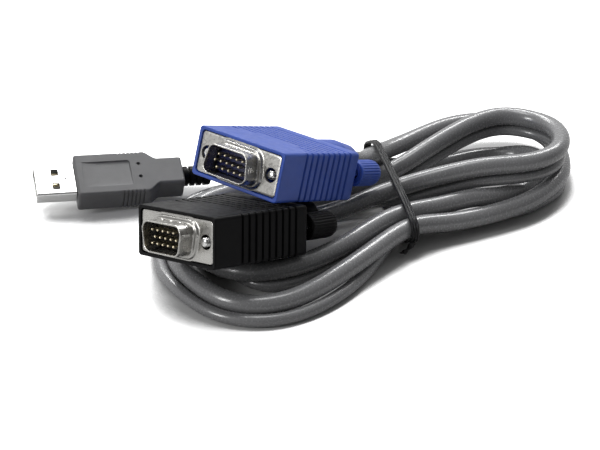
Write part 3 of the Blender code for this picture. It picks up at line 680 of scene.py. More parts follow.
def beside(sizes, points, directions, leans):
    """The USB cord's middle beside the video cord's, turned by its lean about the run."""
    along = directions / np.linalg.norm(directions, axis=1)[:, None]
    left = np.stack([-along[:, 1], along[:, 0], np.zeros(len(along))], axis=1)
    left /= np.linalg.norm(left, axis=1)[:, None]
    down = np.cross(left, along)
    down *= -np.sign(down[:, 2])[:, None]
    lean = np.radians(leans)[:, None]
    reach = sizes.video_radius + sizes.usb_radius + sizes.cord_gap
    return points + reach * (np.cos(lean) * down + np.sin(lean) * left)


def evenly(points, step):
    """Points a fixed step apart along a line, by its summed chords."""
    chords = np.linalg.norm(np.diff(points, axis=0), axis=1)
    along = np.concatenate([[0.0], np.cumsum(chords)])
    wanted = np.linspace(0.0, along[-1], int(round(along[-1] / step)) + 1)
    return np.stack([np.interp(wanted, along, points[:, k]) for k in range(points.shape[1])], axis=-1)


def cord_paths(sizes):
    """The middle lines of the video cord and of the USB cord, in even fine steps."""
    blue, black, usb = (plug_space(plug) for plug in ("blue", "black", "usb"))
    back = np.arange(3) * CORD_LEAD / 2
    mouth = sizes.hood_length + sizes.boot_length + sizes.cord_gap
    level = np.zeros(3)
    across = CORD_SPREAD * math.sin(CORD_START_LEAN)
    up = CORD_SPREAD * math.cos(CORD_START_LEAN)
    start = placed(np.stack([-mouth - back, level + across, level + up], axis=-1), blue)
    end = placed(np.stack([-mouth - back[::-1], level, level], axis=-1), black)
    rows = [[*point, math.degrees(CORD_START_LEAN)] for point in start] + [list(row) for row in TOGETHER]
    together = len(rows) - 1
    rows += [[*row, 0.0] for row in VIDEO_TAIL] + [[*point, 0.0] for point in end]
    curve = SmoothCurve(rows)
    coarse = np.linspace(0.0, curve.knots[-1], CORD_POINTS)
    last = coarse[coarse <= curve.knots[together]][-3:]
    small = curve.knots[-1] / 100000

    def usb_side(places):
        sampled = curve.at(places)
        directions = curve.at(places + small) - curve.at(places - small)
        return beside(sizes, sampled[:, :3], directions[:, :3], sampled[:, 3])

    usb_mouth = sizes.usb_length + sizes.usb_boot_length + sizes.cord_gap
    ends = placed(np.array(((-usb_mouth - CORD_LEAD, 0.0, 0.0), (-usb_mouth, 0.0, 0.0))), usb)
    own = SmoothCurve(np.concatenate([usb_side(last), USB_TAIL, ends]))
    shared = usb_side(np.linspace(0.0, last[-1], 4000))
    apart = own.at(np.linspace(own.knots[2], own.knots[-1], 1000)[1:])
    video = curve.at(np.linspace(0.0, curve.knots[-1], 4000))[:, :3]
    return evenly(video, FINE_STEP), evenly(np.concatenate([shared, apart]), FINE_STEP)


def tube_frames(path):
    """Directions along a path and two across it, carried from point to point with no twist."""
    along = np.gradient(path, axis=0)
    along /= np.linalg.norm(along, axis=1)[:, None]
    first = np.cross(along[0], (0.0, 0.0, 1.0))
    across = [first / np.linalg.norm(first)]
    for direction in along[1:]:
        carried = across[-1] - direction * (across[-1] @ direction)
        across.append(carried / np.linalg.norm(carried))
    across = np.array(across)
    return along, across, np.cross(along, across)


def tube(path, radius, sides):
    """Rings about a path: its point plus radius times cosine and sine of the two across directions."""
    _, across, over = tube_frames(path)
    angles = np.linspace(0.0, 2 * np.pi, sides, endpoint=False)
    spread = across[:, None] * np.cos(angles)[:, None] + over[:, None] * np.sin(angles)[:, None]
    return path[:, None] + radius * spread


def tube_uv(rows, columns, step, caps):
    """UV of every face corner of a tube: metres along it, and turns round it."""
    r = np.arange(rows - 1)[:, None, None] + np.array((0, 0, 1, 1))
    c = np.arange(columns)[None, :, None] + np.array((0, 1, 1, 0))
    sides = np.stack(np.broadcast_arrays(r * step * 100, c / columns), axis=-1).reshape(-1, 2)
    return np.concatenate([sides, np.zeros((caps * columns, 2))])


def make_cord(name, path, radius, node):
    """One cord as a smooth tube with flat ends."""
    uv = tube_uv(len(path), CORD_SIDES, FINE_STEP, 2)
    mesh = new_mesh(name, [skin(tube(path, radius, CORD_SIDES))], uv)
    return add_piece(name, mesh, "cord_jacket", "cable", [node])


class CABLE_OT_cords(bpy.types.Operator):
    """Lay both cords along their route"""

    bl_idname = "cable.cords"
    bl_label = "Cords"

    def execute(self, context):
        sizes = context.scene.cable_sizes
        paths = dict(zip(("video", "usb"), cord_paths(sizes)))
        radii = {"video": sizes.video_radius, "usb": sizes.usb_radius}
        for name, path in paths.items():
            cord = make_cord(name + "_cord_jacket", path, radii[name], name + "_cord")
        return {"FINISHED"}


def hood_mesh(sizes):
    """The moulded hood: rounded rectangles along X, pushed in along their own outward direction by
    the grooves, whose depth is a soft trough of the distance into the groove."""
    columns = (97, 29, 7)
    w, h, edge = sizes.hood_width / 2, sizes.hood_height / 2, sizes.hood_edge
    rear = -sizes.hood_length
    starts = rear + sizes.rib_rear_band + np.arange(RIB_COUNT) * sizes.rib_pitch
    in_groove = np.array((0.0, 0.06, 0.14, 0.25, 0.5, 0.75, 0.86, 0.94, 1.0))
    across = (starts[:, None] + sizes.rib_groove * in_groove).ravel()
    between = (starts[:, None] + sizes.rib_groove
               + (sizes.rib_pitch - sizes.rib_groove) * np.array((0.12, 0.3, 0.5, 0.7, 0.88))).ravel()
    turn = np.linspace(0, np.pi / 2, 9)
    rear_edge = np.stack([rear + edge * (1 - np.sin(turn)), edge * (1 - np.cos(turn))], axis=-1)[::-1]
    lip = 0.0003
    front = np.stack([sizes.hood_rim - lip * (1 - np.cos(turn)), lip * (1 - np.sin(turn))], axis=-1)[::-1]
    plain = np.linspace(-0.0092, -0.0008, 14)
    plain = np.concatenate([across, between, plain, [rear + 0.0019, rear + 0.0032]])
    middle = np.stack([np.sort(plain), np.zeros(len(plain))], axis=-1)
    front = front[np.argsort(front[:, 0])]
    rows = np.concatenate([rear_edge, middle, front])
    section, ways = rounded_section(w, h, edge, columns)
    grown = [rounded_section(w - inset, h - inset, edge - min(inset, edge * 0.7), columns)[0]
             for inset in rows[:, 1]]
    x = rows[:, :1]
    trough = np.zeros(len(rows))
    for start in starts:
        into = (rows[:, 0] - start) / sizes.rib_groove
        trough = np.maximum(trough, smooth_step(into / 0.25) * smooth_step((1 - into) / 0.25))
    sideways = np.abs(ways[None, :, 0]) ** 2
    lens = -(0.0098 + 0.0072 * (1 - (section[:, 0] / w) ** 2))
    behind = smooth_step((lens[None, :] - x) / 0.0006)
    sunk = 0.00022 * smooth_step((-0.0098 - x) / 0.0012) * smooth_step((x - rear - 0.0030) / 0.0012)
    facing = 1 - sideways
    depth = trough[:, None] * (sideways * sizes.rib_depth + facing * behind * sizes.rib_depth * 0.75)
    depth = depth + facing * sunk * smooth_step((w - np.abs(section[None, :, 0])) / 0.003)
    outline = np.array(grown) - ways[None] * depth[:, :, None]
    outer = np.concatenate([np.broadcast_to(x[:, :, None], (*outline.shape[:2], 1)), outline], axis=-1)
    pocket = []
    deep = -sizes.flange_thickness - CLEAR
    places = (sizes.hood_rim - lip * 0.4, sizes.hood_rim - lip * 2, deep)
    for place, growth in zip(places, (0.0, -0.0001, -0.0001)):
        a = sizes.flange_width / 2 + CLEAR + growth
        b = sizes.flange_height / 2 + CLEAR + growth
        ring = rounded_section(a, b, sizes.flange_corner, columns)[0]
        pocket.append(at_x(place, ring))
    return new_mesh("hood", [skin(np.concatenate([outer, np.array(pocket)]))])


def boot_mesh(sizes):
    """The boot behind the hood, a turned profile: straight, then a slant to the cord."""
    rear = -sizes.hood_length
    end = rear - sizes.boot_length
    hole = sizes.video_radius + 0.0001
    line = filleted([
        (rear + 0.002, 0.0005), (rear + 0.002, sizes.boot_root_radius),
        (rear - sizes.boot_root_length, sizes.boot_root_radius), (end, sizes.boot_end_radius),
        (end, hole + 0.0006), (end + 0.0008, hole), (end + 0.0030, hole), (end + 0.0030, 0.0005)],
        [0.0001, 0.0025, 0.0008, 0.0002, 0.0002, 0.0001], 6)
    return new_mesh("boot", [skin(turned(line, 72))])


def bore_mesh(sizes):
    """Stepped bores for both screws, wide behind the metal face."""
    rear = -sizes.hood_length - 0.001
    shapes = []
    for side in (-1, 1):
        line = [(rear, sizes.screw_radius + 0.0005), (-0.0070, sizes.screw_radius + 0.0005),
                (-0.0070, sizes.flange_hole + 0.0003), (0.001, sizes.flange_hole + 0.0003)]
        shapes.append(skin(turned(line, 40, (side * sizes.screw_spacing / 2, 0.0))))
    return new_mesh("bores", shapes)


class CABLE_OT_hoods(bpy.types.Operator):
    """Mould the two video plugs' hoods with their ribs and boots"""

    bl_idname = "cable.hoods"
    bl_label = "Video plug hoods"

    def execute(self, context):
        sizes = context.scene.cable_sizes
        made = combined(hood_mesh(sizes), [("UNION", boot_mesh(sizes)), ("DIFFERENCE", bore_mesh(sizes))])
        for plug in ("blue", "black"):
            mesh = moved_copy(made, plug + "_hood_moulding", plug_space(plug))
            add_piece(mesh.name, mesh, plug + "_moulding", "cable", [plug + "_hood"], 35)
        return {"FINISHED"}


def face_mesh(sizes):
    """The metal face as one closed sheet: rings from the back, round the flange's edge, over the
    skirt, along the shroud and back inside. Three dimples stand out from each of its flat sides."""
    angles = np.linspace(0.0, 2 * np.pi, 320, endpoint=False)
    a, b, t = sizes.flange_width / 2, sizes.flange_height / 2, sizes.flange_thickness
    wall, deep = sizes.shroud_wall, sizes.shroud_depth

    def flange_ring(x, inset):
        outline = ring_outline(box_corners(a - inset, b - inset), sizes.flange_corner - inset)
        return x, by_angle(outline, angles)

    def shroud_ring(x, inset):
        return x, by_angle(shroud_outline(sizes, inset), angles)

    rings = [flange_ring(-t, 0.0001), flange_ring(-t + 0.0001, 0.0), flange_ring(-0.0002, 0.0),
             flange_ring(-0.00006, 0.00006), flange_ring(0.0, 0.0002), flange_ring(0.0, 0.0008)]
    skirt = ((0.0, 0.00175), (0.00002, 0.00150), (0.00012, 0.00125), (0.00035, 0.00108),
             (0.00060, 0.00102), (0.00078, 0.00090), (0.00086, 0.00070), (0.00088, 0.00045),
             (0.00092, 0.00025), (0.00105, 0.00009), (0.00125, 0.00002))
    rings += [shroud_ring(x, -grow) for x, grow in skirt]
    rings += [shroud_ring(x, 0.0) for x in np.linspace(0.0014, 0.0032, 13)]
    rings += [shroud_ring(deep - 0.0004, 0.0)]
    turn = np.linspace(0, np.pi, 9)
    rings += [shroud_ring(deep - wall / 2 * (1 - math.sin(k)), wall / 2 * (1 - math.cos(k))) for k in turn]
    rings += [shroud_ring(0.0030, wall), shroud_ring(-t, wall)]
    points = np.array([at_x(x, ring) for x, ring in rings])
    x, y, z = points[..., 0], points[..., 1], points[..., 2]
    flat = (np.abs(z) > sizes.shroud_height / 2 - 0.00005) & (x > 0.0008)
    for middle in DIMPLE_PLACES:
        away = ((x - DIMPLE_X) ** 2 + (y - middle) ** 2) / DIMPLE_SPREAD**2
        points[..., 2] += np.where(flat, np.sign(z) * DIMPLE_HEIGHT * np.exp(-away), 0.0)
    return new_mesh("face", [skin(points, loop=True)])


def flange_hole_mesh(sizes):
    """Cutters for the two screw holes in the metal face."""
    line = [(-0.003, sizes.flange_hole), (0.003, sizes.flange_hole)]
    shapes = [skin(turned(line, 48, (side * sizes.screw_spacing / 2, 0.0))) for side in (-1, 1)]
    return new_mesh("flange_holes", shapes)


def pin_mesh(sizes):
    """Fifteen round-tipped pins in three rows, the middle row half a pitch over."""
    turn = np.linspace(0, np.pi / 2, 6)
    r = sizes.pin_radius
    line = [(sizes.insulator_face - 0.0004, r * 0.2), (sizes.insulator_face - 0.0004, r)]
    line += [(sizes.pin_reach - r * (1 - math.sin(k)), max(r * math.cos(k), r * 0.04)) for k in turn]
    shapes = []
    for row in range(3):
        shift = sizes.pin_pitch / 4 if row == 1 else -sizes.pin_pitch / 4
        for k in range(PINS_PER_ROW):
            across = (k - (PINS_PER_ROW - 1) / 2) * sizes.pin_pitch + shift
            shapes.append(skin(turned(line, 16, (across, (1 - row) * sizes.pin_rows))))
    return new_mesh("pins", shapes)


class CABLE_OT_faces(bpy.types.Operator):
    """Press the two metal faces and set their insulators and pins"""

    bl_idname = "cable.faces"
    bl_label = "Video plug faces"

    def execute(self, context):
        sizes = context.scene.cable_sizes
        face = combined(face_mesh(sizes), [("DIFFERENCE", flange_hole_mesh(sizes))])
        pins = pin_mesh(sizes)
        for plug, insulator in (("blue", "navy_insulator"), ("black", "black_insulator")):
            space = plug_space(plug)
            if plug == "blue":
                space = space @ np.diag((1.0, -1.0, -1.0, 1.0))
            mesh = moved_copy(face, plug + "_metal_face", space)
            add_piece(mesh.name, mesh, "nickel", "cable", [plug + "_shell"], 50)
            refined(plug + "_insulator", plug + "_pin_block", insulator, "cable", 0.0001)
            mesh = moved_copy(pins, plug + "_pins", space)
            nodes = ["%s_pin_%02d" % (plug, k + 1) for k in range(3 * PINS_PER_ROW)]
            add_piece(mesh.name, mesh, "gold", "cable", nodes, 50)
        return {"FINISHED"}


def screw_mesh(sizes, float_back, offset):
    """A screw: turned, with a round nose and a thread whose depth is a triangle wave of the place
    along the screw plus the turn about it."""
    tail = -sizes.hood_length - float_back - sizes.knob_grip + CLEAR
    tip = tail + sizes.screw_length
    r = sizes.screw_radius
    nose = 0.0008
    threaded = 0.0060
    turn = np.linspace(0, np.pi / 2, 8)
    rows = [(tail, r * 0.3), (tail, r)]
    rows += [(x, r) for x in np.linspace(tail + 0.001, tip - threaded - 0.0002, 5)]
    rows += [(x, r) for x in np.linspace(tip - threaded, tip - nose, 90)]
    rows += [(tip - nose * (1 - math.sin(k)), max(r * math.cos(k) ** 0.7, r * 0.05)) for k in turn[1:]]
    points = turned(rows, SCREW_SIDES)
    angles = np.linspace(0.0, 1.0, SCREW_SIDES, endpoint=False)
    x = points[..., 0]
    phase = (x / sizes.thread_pitch + angles) % 1.0
    cut = np.abs(phase - 0.5) * 2
    depth = THREAD_DEPTH * (1 - smooth_step(cut / 0.9))
    depth = depth * smooth_step((x - tip + threaded) / 0.0008) * smooth_step((tip - nose * 0.6 - x) / 0.0005)
    radial = 1 - depth / np.maximum(np.hypot(points[..., 1], points[..., 2]), r / 2)
    points[..., 1:] *= radial[..., None]
    points[..., 1] += offset
    return new_mesh("screw", [skin(points)])


def knob_mesh(sizes, float_back, offset):
    """A knob: turned, hollow round the screw, with fine ridges whose height is a rounded wave of
    the turn about it, faded out before the domed end."""
    front = -sizes.hood_length - float_back
    end = front - sizes.knob_length
    r = sizes.knob_radius
    dome = 0.0034
    bore = sizes.screw_radius + CLEAR
    turn = np.linspace(0, np.pi / 2, 14)[1:]
    grip = front - sizes.knob_grip
    rows = [(grip, 0.0001), (grip, bore), (front - 0.0009, bore), (front - 0.0010, bore + 0.0001),
            (front - 0.0010, r - 0.0011), (front - 0.0008, r - 0.0009), (front - 0.0002, r - 0.0007),
            (front, r - 0.0005), (front, r - 0.0003), (front - 0.0001, r - 0.0001), (front - 0.0003, r),
            (front - 0.0006, r)]
    rows += [(x, r) for x in np.linspace(front - 0.0009, end + dome, 12)]
    rows += [(end + dome * (1 - math.sin(k)), max(r * (1 - (1 - math.cos(k)) ** 1.25), 0.0001))
             for k in turn]
    points = turned(rows, KNOB_SIDES)
    x = points[..., 0]
    wave = np.cos(np.linspace(0.0, 2 * np.pi * KNOB_RIDGES, KNOB_SIDES, endpoint=False))
    ridge = RIDGE_DEPTH * (0.5 - 0.5 * np.clip(wave * 1.4, -1, 1))
    radius = np.hypot(points[..., 1], points[..., 2])
    on_side = smooth_step((front - 0.0007 - x) / 0.0004) * smooth_step((x - end - dome * 0.35) / 0.0012)
    on_side = on_side * (radius > r * 0.6)
    points[..., 1:] *= (1 - ridge * on_side / np.maximum(radius, 0.001))[..., None]
    points[..., 1] += offset
    return new_mesh("knob", [skin(points)])


class CABLE_OT_thumbscrews(bpy.types.Operator):
    """Turn the four thumbscrews, each a threaded screw and a ridged knob"""

    bl_idname = "cable.thumbscrews"
    bl_label = "Thumbscrews"

    def execute(self, context):
        sizes = context.scene.cable_sizes
        for plug, float_back in (("blue", sizes.blue_float), ("black", sizes.black_float)):
            space = plug_space(plug)
            for side, way in zip(SIDES, (-1, 1)):
                body = "%s_thumbscrew_%s" % (plug, side)
                offset = way * sizes.screw_spacing / 2
                mesh = moved_copy(screw_mesh(sizes, float_back, offset), body + "_thread", space)
                add_piece(mesh.name, mesh, "bright_steel", body, ["%s_screw_%s" % (plug, side)], 60)
                mesh = moved_copy(knob_mesh(sizes, float_back, offset), body + "_knob", space)
                add_piece(mesh.name, mesh, plug + "_moulding", body, ["%s_knob_%s" % (plug, side)], 50)
        return {"FINISHED"}


def usb_body_mesh(sizes):
    """The USB body: rounded rectangles whose half width falls from the wide part to the neck by a
    smooth step, with ribs at the sides, and on top a panel sunk at its far and rear edges, and two
    small holes."""
    columns = (121, 19, 6)
    w, h, neck, edge = sizes.usb_width / 2, sizes.usb_height / 2, sizes.usb_neck / 2, sizes.usb_edge
    long = sizes.usb_length
    turn = np.linspace(0, np.pi / 2, 7)
    ends = edge * (1 - np.sin(turn))
    insets = edge * (1 - np.cos(turn))
    inner = np.linspace(edge, long - edge, 230)[1:-1]
    back = np.concatenate([ends[::-1], inner, long - ends])
    inset = np.concatenate([insets[::-1], np.zeros(len(inner)), insets])
    narrow = smooth_step((back - sizes.usb_main + 0.0004) / (sizes.usb_shoulder + 0.0008))
    half = w + (neck - w) * narrow
    rings = []
    for place, shrink, wide in zip(back, inset, half):
        ring, ways = rounded_section(wide - shrink, h - shrink, edge - min(shrink, edge * 0.7), columns)
        rings.append(at_x(-place, ring))
    points = np.array(rings)
    x, y = -points[..., 0], points[..., 1]
    side = np.abs(ways[None, :, 0])
    start, pitch, groove, count = 0.0142, 0.0013, 0.0006, 6
    into = ((x - start) % pitch) / groove
    trough = smooth_step(into / 0.3) * smooth_step((1 - into) / 0.3)
    trough = trough * (x > start) * (x < start + count * pitch)
    top = (ways[None, :, 1] > 0.99) * np.ones_like(x)
    far = -w + 0.0034
    panel = smooth_step((x - 0.0023) / 0.0002) * smooth_step((0.0178 - x) / 0.00022)
    panel = panel * smooth_step((y - far) / 0.00022)
    run_out = np.clip((x - 0.0020) / 0.0060, 0, 1) * np.clip((w - 0.0030 - y) / 0.0085, 0, 1)
    corner = np.hypot(np.maximum(x - 0.0166, 0), np.maximum(far + 0.0012 - y, 0))
    sunk = 0.00050 * panel * np.maximum(run_out, 0) ** 0.6 * smooth_step((0.0013 - corner) / 0.0002)
    for across in (-0.0031, 0.0021):
        away = np.hypot(x - 0.0205, y - across)
        sunk = np.maximum(sunk, 0.0012 * smooth_step((0.00058 - away) / 0.00018))
    depth = 0.0004 * trough * side + sunk * top
    points[..., 1:] -= ways[None] * depth[..., None]
    seam = smooth_step(1 - np.abs(points[..., 2] + 0.0002) / 0.00018) * 0.00008 * (side > 0.99)
    points[..., 1] -= np.sign(points[..., 1]) * seam
    return new_mesh("usb_body", [skin(points)])


def usb_shell_mesh(sizes):
    """The USB shell as one closed sheet: out along the outside, over the lip and back inside."""
    columns = (61, 21, 5)
    a, b, corner = sizes.usb_shell_width / 2, sizes.usb_shell_height / 2, sizes.usb_shell_corner
    wall = sizes.usb_shell_wall
    back, mouth = CLEAR, CLEAR + sizes.usb_shell_length
    turn = np.linspace(0, np.pi, 7)
    rows = [(x, 0.0) for x in np.linspace(back, mouth - wall / 2, 60)]
    rows += [(mouth - wall / 2 * (1 - math.sin(k)), wall / 2 * (1 - math.cos(k))) for k in turn[1:]]
    rows += [(x, wall) for x in np.linspace(mouth - wall, back, 8)]
    rings = []
    for x, inset in rows:
        rings.append(at_x(x, rounded_section(a - inset, b - inset, corner - inset, columns)[0]))
    points = np.array(rings)
    x, y, z = points[..., 0], points[..., 1], points[..., 2]
    outside = np.abs(z) > b - wall / 2
    away = (((x - 0.0028) / 0.0006) ** 2 + ((y - 0.0002) / 0.0008) ** 2)
    points[..., 2] -= np.where(outside & (z > 0), 0.00014 * np.exp(-away**2), 0.0)
    return new_mesh("usb_shell", [skin(points, loop=True)])


def latch_hole_mesh(sizes):
    """Cutters for the shell's four square latch holes."""
    front = CLEAR + sizes.usb_shell_length - 0.0052
    shapes = []
    for across in (-1, 1):
        for level in (-1, 1):
            w, l = sizes.latch_width / 2, sizes.latch_length / 2
            ring = ring_outline(box_corners(w, l), 0.0002, 3)
            x, y = ring[:, 1] + front - l, ring[:, 0] + across * 0.0028
            rings = [np.stack([x, y, np.full(len(ring), z)], axis=-1)
                     for z in (level * 0.001, level * 0.004)]
            shapes.append(skin(np.array(rings if level > 0 else rings[::-1])))
    return new_mesh("latch_holes", shapes)


def usb_boot_mesh(sizes):
    """The strain relief: a turned profile with soft rings, thinner towards the cord."""
    front = -sizes.usb_length - CLEAR
    pitch = (sizes.usb_boot_length - CLEAR) / 4
    along = np.linspace(0, 1, 121)
    phase = (along * 4) % 1.0
    groove = smooth_step((phase - 0.62) / 0.08) * smooth_step((1.0 - phase) / 0.08)
    groove[-12:] = 0.0
    radius = sizes.usb_boot_radius - (sizes.usb_boot_radius - sizes.usb_boot_groove) * groove
    round_end = np.sqrt(np.clip((1.0 - along) * 4 * pitch / 0.0006, 0, 1))
    radius = radius * (0.90 + 0.10 * round_end)
    end, hole = front - 4 * pitch, sizes.usb_radius + 0.0001
    rows = [(front, 0.0005), *zip(front - along * 4 * pitch, radius), (end, hole),
            (end + 0.001, hole), (end + 0.001, 0.0003)]
    return new_mesh("usb_boot", [skin(turned(rows, 56))])


class CABLE_OT_usb_plug(bpy.types.Operator):
    """Mould the USB plug's body and strain relief and fit its shell, tongue and contacts"""

    bl_idname = "cable.usb_plug"
    bl_label = "USB plug"

    def execute(self, context):
        sizes = context.scene.cable_sizes
        space = plug_space("usb")
        shell = combined(usb_shell_mesh(sizes), [("DIFFERENCE", latch_hole_mesh(sizes))])
        for mesh, name, finish, angle in (
                (usb_body_mesh(sizes), "body", "grey_moulding", 35),
                (shell, "shell", "bright_steel", 40),
                (usb_boot_mesh(sizes), "boot", "black_moulding", 50)):
            made = moved_copy(mesh, "usb_plug_" + name, space)
            add_piece(made.name, made, finish, "cable", ["usb_" + name], angle)
        refined("usb_tongue", "usb_plug_tongue", "white_tongue", "cable", 0.00012)
        for k in range(USB_CONTACTS):
            refined("usb_contact_%d" % (k + 1), "usb_plug_contact_%d" % (k + 1), "gold", "cable", 0.00004)
        return {"FINISHED"}


def tie_crossings(sizes):
    """Middle (across, height) and half width and height of every strand cut across by the tie."""
    heading = np.array((math.cos(TIE_HEADING), math.sin(TIE_HEADING), 0.0))
    across = np.array((math.sin(TIE_HEADING), -math.cos(TIE_HEADING), 0.0))
    found = []
    for path, radius in zip(cord_paths(sizes), (sizes.video_radius, sizes.usb_radius)):
        offsets = (path - TIE_MIDDLE) @ heading
        for shift in (-sizes.tie_width / 2, 0.0, sizes.tie_width / 2):
            side = offsets - shift
            k = np.nonzero(side[:-1] * side[1:] < 0)[0]
            share = (side[k] / (side[k] - side[k + 1]))[:, None]
            place = path[k] + share * (path[k + 1] - path[k])
            run = path[k + 1] - path[k]
            run /= np.linalg.norm(run, axis=1)[:, None]
            flat = (place - TIE_MIDDLE) @ across
            wide = radius / np.abs(run @ heading)
            rows = np.stack([flat, place[:, 2], wide, np.full(len(wide), radius)], axis=-1)
            found.append(rows[np.abs(flat) < TIE_REACH])
    return np.concatenate(found), heading, across


def tie_mesh(sizes):
    """The tie: a ribbed strip carried round the outline that is tight about every strand."""
    circles, heading, across = tie_crossings(sizes)
    angles = np.linspace(0.0, 2 * np.pi, 720, endpoint=False)
    aims = np.stack([np.cos(angles), np.sin(angles)], axis=-1)
    reach = np.hypot(aims[:, None, 0] * circles[:, 2], aims[:, None, 1] * circles[:, 3])
    furthest = np.argmax(aims @ circles[:, :2].T + reach, axis=1)
    widest = circles[furthest]
    touched = aims * widest[:, 2:] ** 2 / reach[np.arange(len(aims)), furthest][:, None]
    outline = widest[:, :2] + touched + TIE_CLEAR * aims
    outline = evenly(np.concatenate([outline, outline[:1]]), 0.0004)[:-1]
    ahead = np.roll(outline, -1, axis=0) - np.roll(outline, 1, axis=0)
    ahead /= np.linalg.norm(ahead, axis=1)[:, None]
    out = np.stack([ahead[:, 1], -ahead[:, 0]], axis=-1)
    kernel = np.hanning(9) / np.hanning(9).sum()
    out = np.stack([np.convolve(np.concatenate([out[-4:, k], out[:, k], out[:4, k]]), kernel, "valid")
                    for k in range(2)], axis=-1)
    out /= np.linalg.norm(out, axis=1)[:, None]
    w, t = sizes.tie_width / 2, sizes.tie_thickness
    level = np.linspace(-1, 1, 33)
    ribs = t * (0.60 + 0.40 * np.cos(level * 1.5 * np.pi) ** 2) * (1 - 0.35 * np.abs(level) ** 8)
    under = np.array(((w * 0.92, 0.0), (0.0, 0.0), (-w * 0.92, 0.0)))
    section = np.concatenate([np.stack([level * w, ribs], axis=-1), under])
    flat = outline[:, None] + out[:, None] * section[None, :, 1:]
    points = (TIE_MIDDLE + flat[..., :1] * across + flat[..., 1:] * np.array((0.0, 0.0, 1.0))
              + section[None, :, :1] * heading)
    return new_mesh("tie_band", [skin(points, loop=True)]), outline, heading, across


def tie_tail_mesh(sizes, outline, heading, across):
    """The tie's twisted end: a flat strip whose width turns about a short curve on the floor."""
    front = outline[np.argmax(outline @ np.array((1.0, -0.55)))]
    start = TIE_MIDDLE + front[0] * across + np.array((0.0, 0.0, front[1]))
    share = np.linspace(0, 1, 90)
    way = across * 0.12 - heading
    path = start - across * 0.0002 + share[:, None] * 0.0048 * way
    path[:, 2] = 0.0046 - 0.0026 * smooth_step(share * 1.4)
    along, side, over = tube_frames(path)
    spin = share[:, None] * 2.4 * np.pi + 0.4
    wide = side * np.cos(spin) + over * np.sin(spin)
    thick = np.cross(along, wide)
    turn = np.linspace(0, 2 * np.pi, 24, endpoint=False)
    strip = 0.0010 * (1 - 0.35 * share)[:, None, None] * (1 - share[:, None, None] ** 12)
    rings = path[:, None] + strip * np.cos(turn)[:, None] * wide[:, None]
    rings = rings + 0.5 * strip * np.sin(turn)[:, None] * thick[:, None]
    return new_mesh("tie_tail", [skin(rings)])


class CABLE_OT_tie(bpy.types.Operator):
    """Draw the ribbed tie round the strands and twist its end"""

    bl_idname = "cable.tie"
    bl_label = "Tie"

    def execute(self, context):
        sizes = context.scene.cable_sizes
        loop, outline, heading, across = tie_mesh(sizes)
        add_piece("tie_band", loop, "tie_strip", "cable", ["tie"], 60)
        tail = tie_tail_mesh(sizes, outline, heading, across)
        add_piece("tie_tail", tail, "tie_strip", "cable", ["tie"], 60)
        return {"FINISHED"}


def reckoned(tree, operation, first, second):
    """A Math node's output. Each input is a socket or a number."""
    node = tree.nodes.new("ShaderNodeMath")
    node.operation = operation
    for socket, value in zip(node.inputs, (first, second)):
        if isinstance(value, (int, float)):
            socket.default_value = value
        else:
            tree.links.new(value, socket)
    return node.outputs["Value"]


def ranged(tree, value, before, after):
    """A smooth Map Range of a socket from one pair of numbers to another."""
    node = tree.nodes.new("ShaderNodeMapRange")
    node.interpolation_type = "SMOOTHSTEP"
    numbers = {"From Min": before[0], "From Max": before[1], "To Min": after[0], "To Max": after[1]}
    for name, number in numbers.items():
        node.inputs[name].default_value = number
    tree.links.new(value, node.inputs["Value"])
    return node.outputs["Result"]


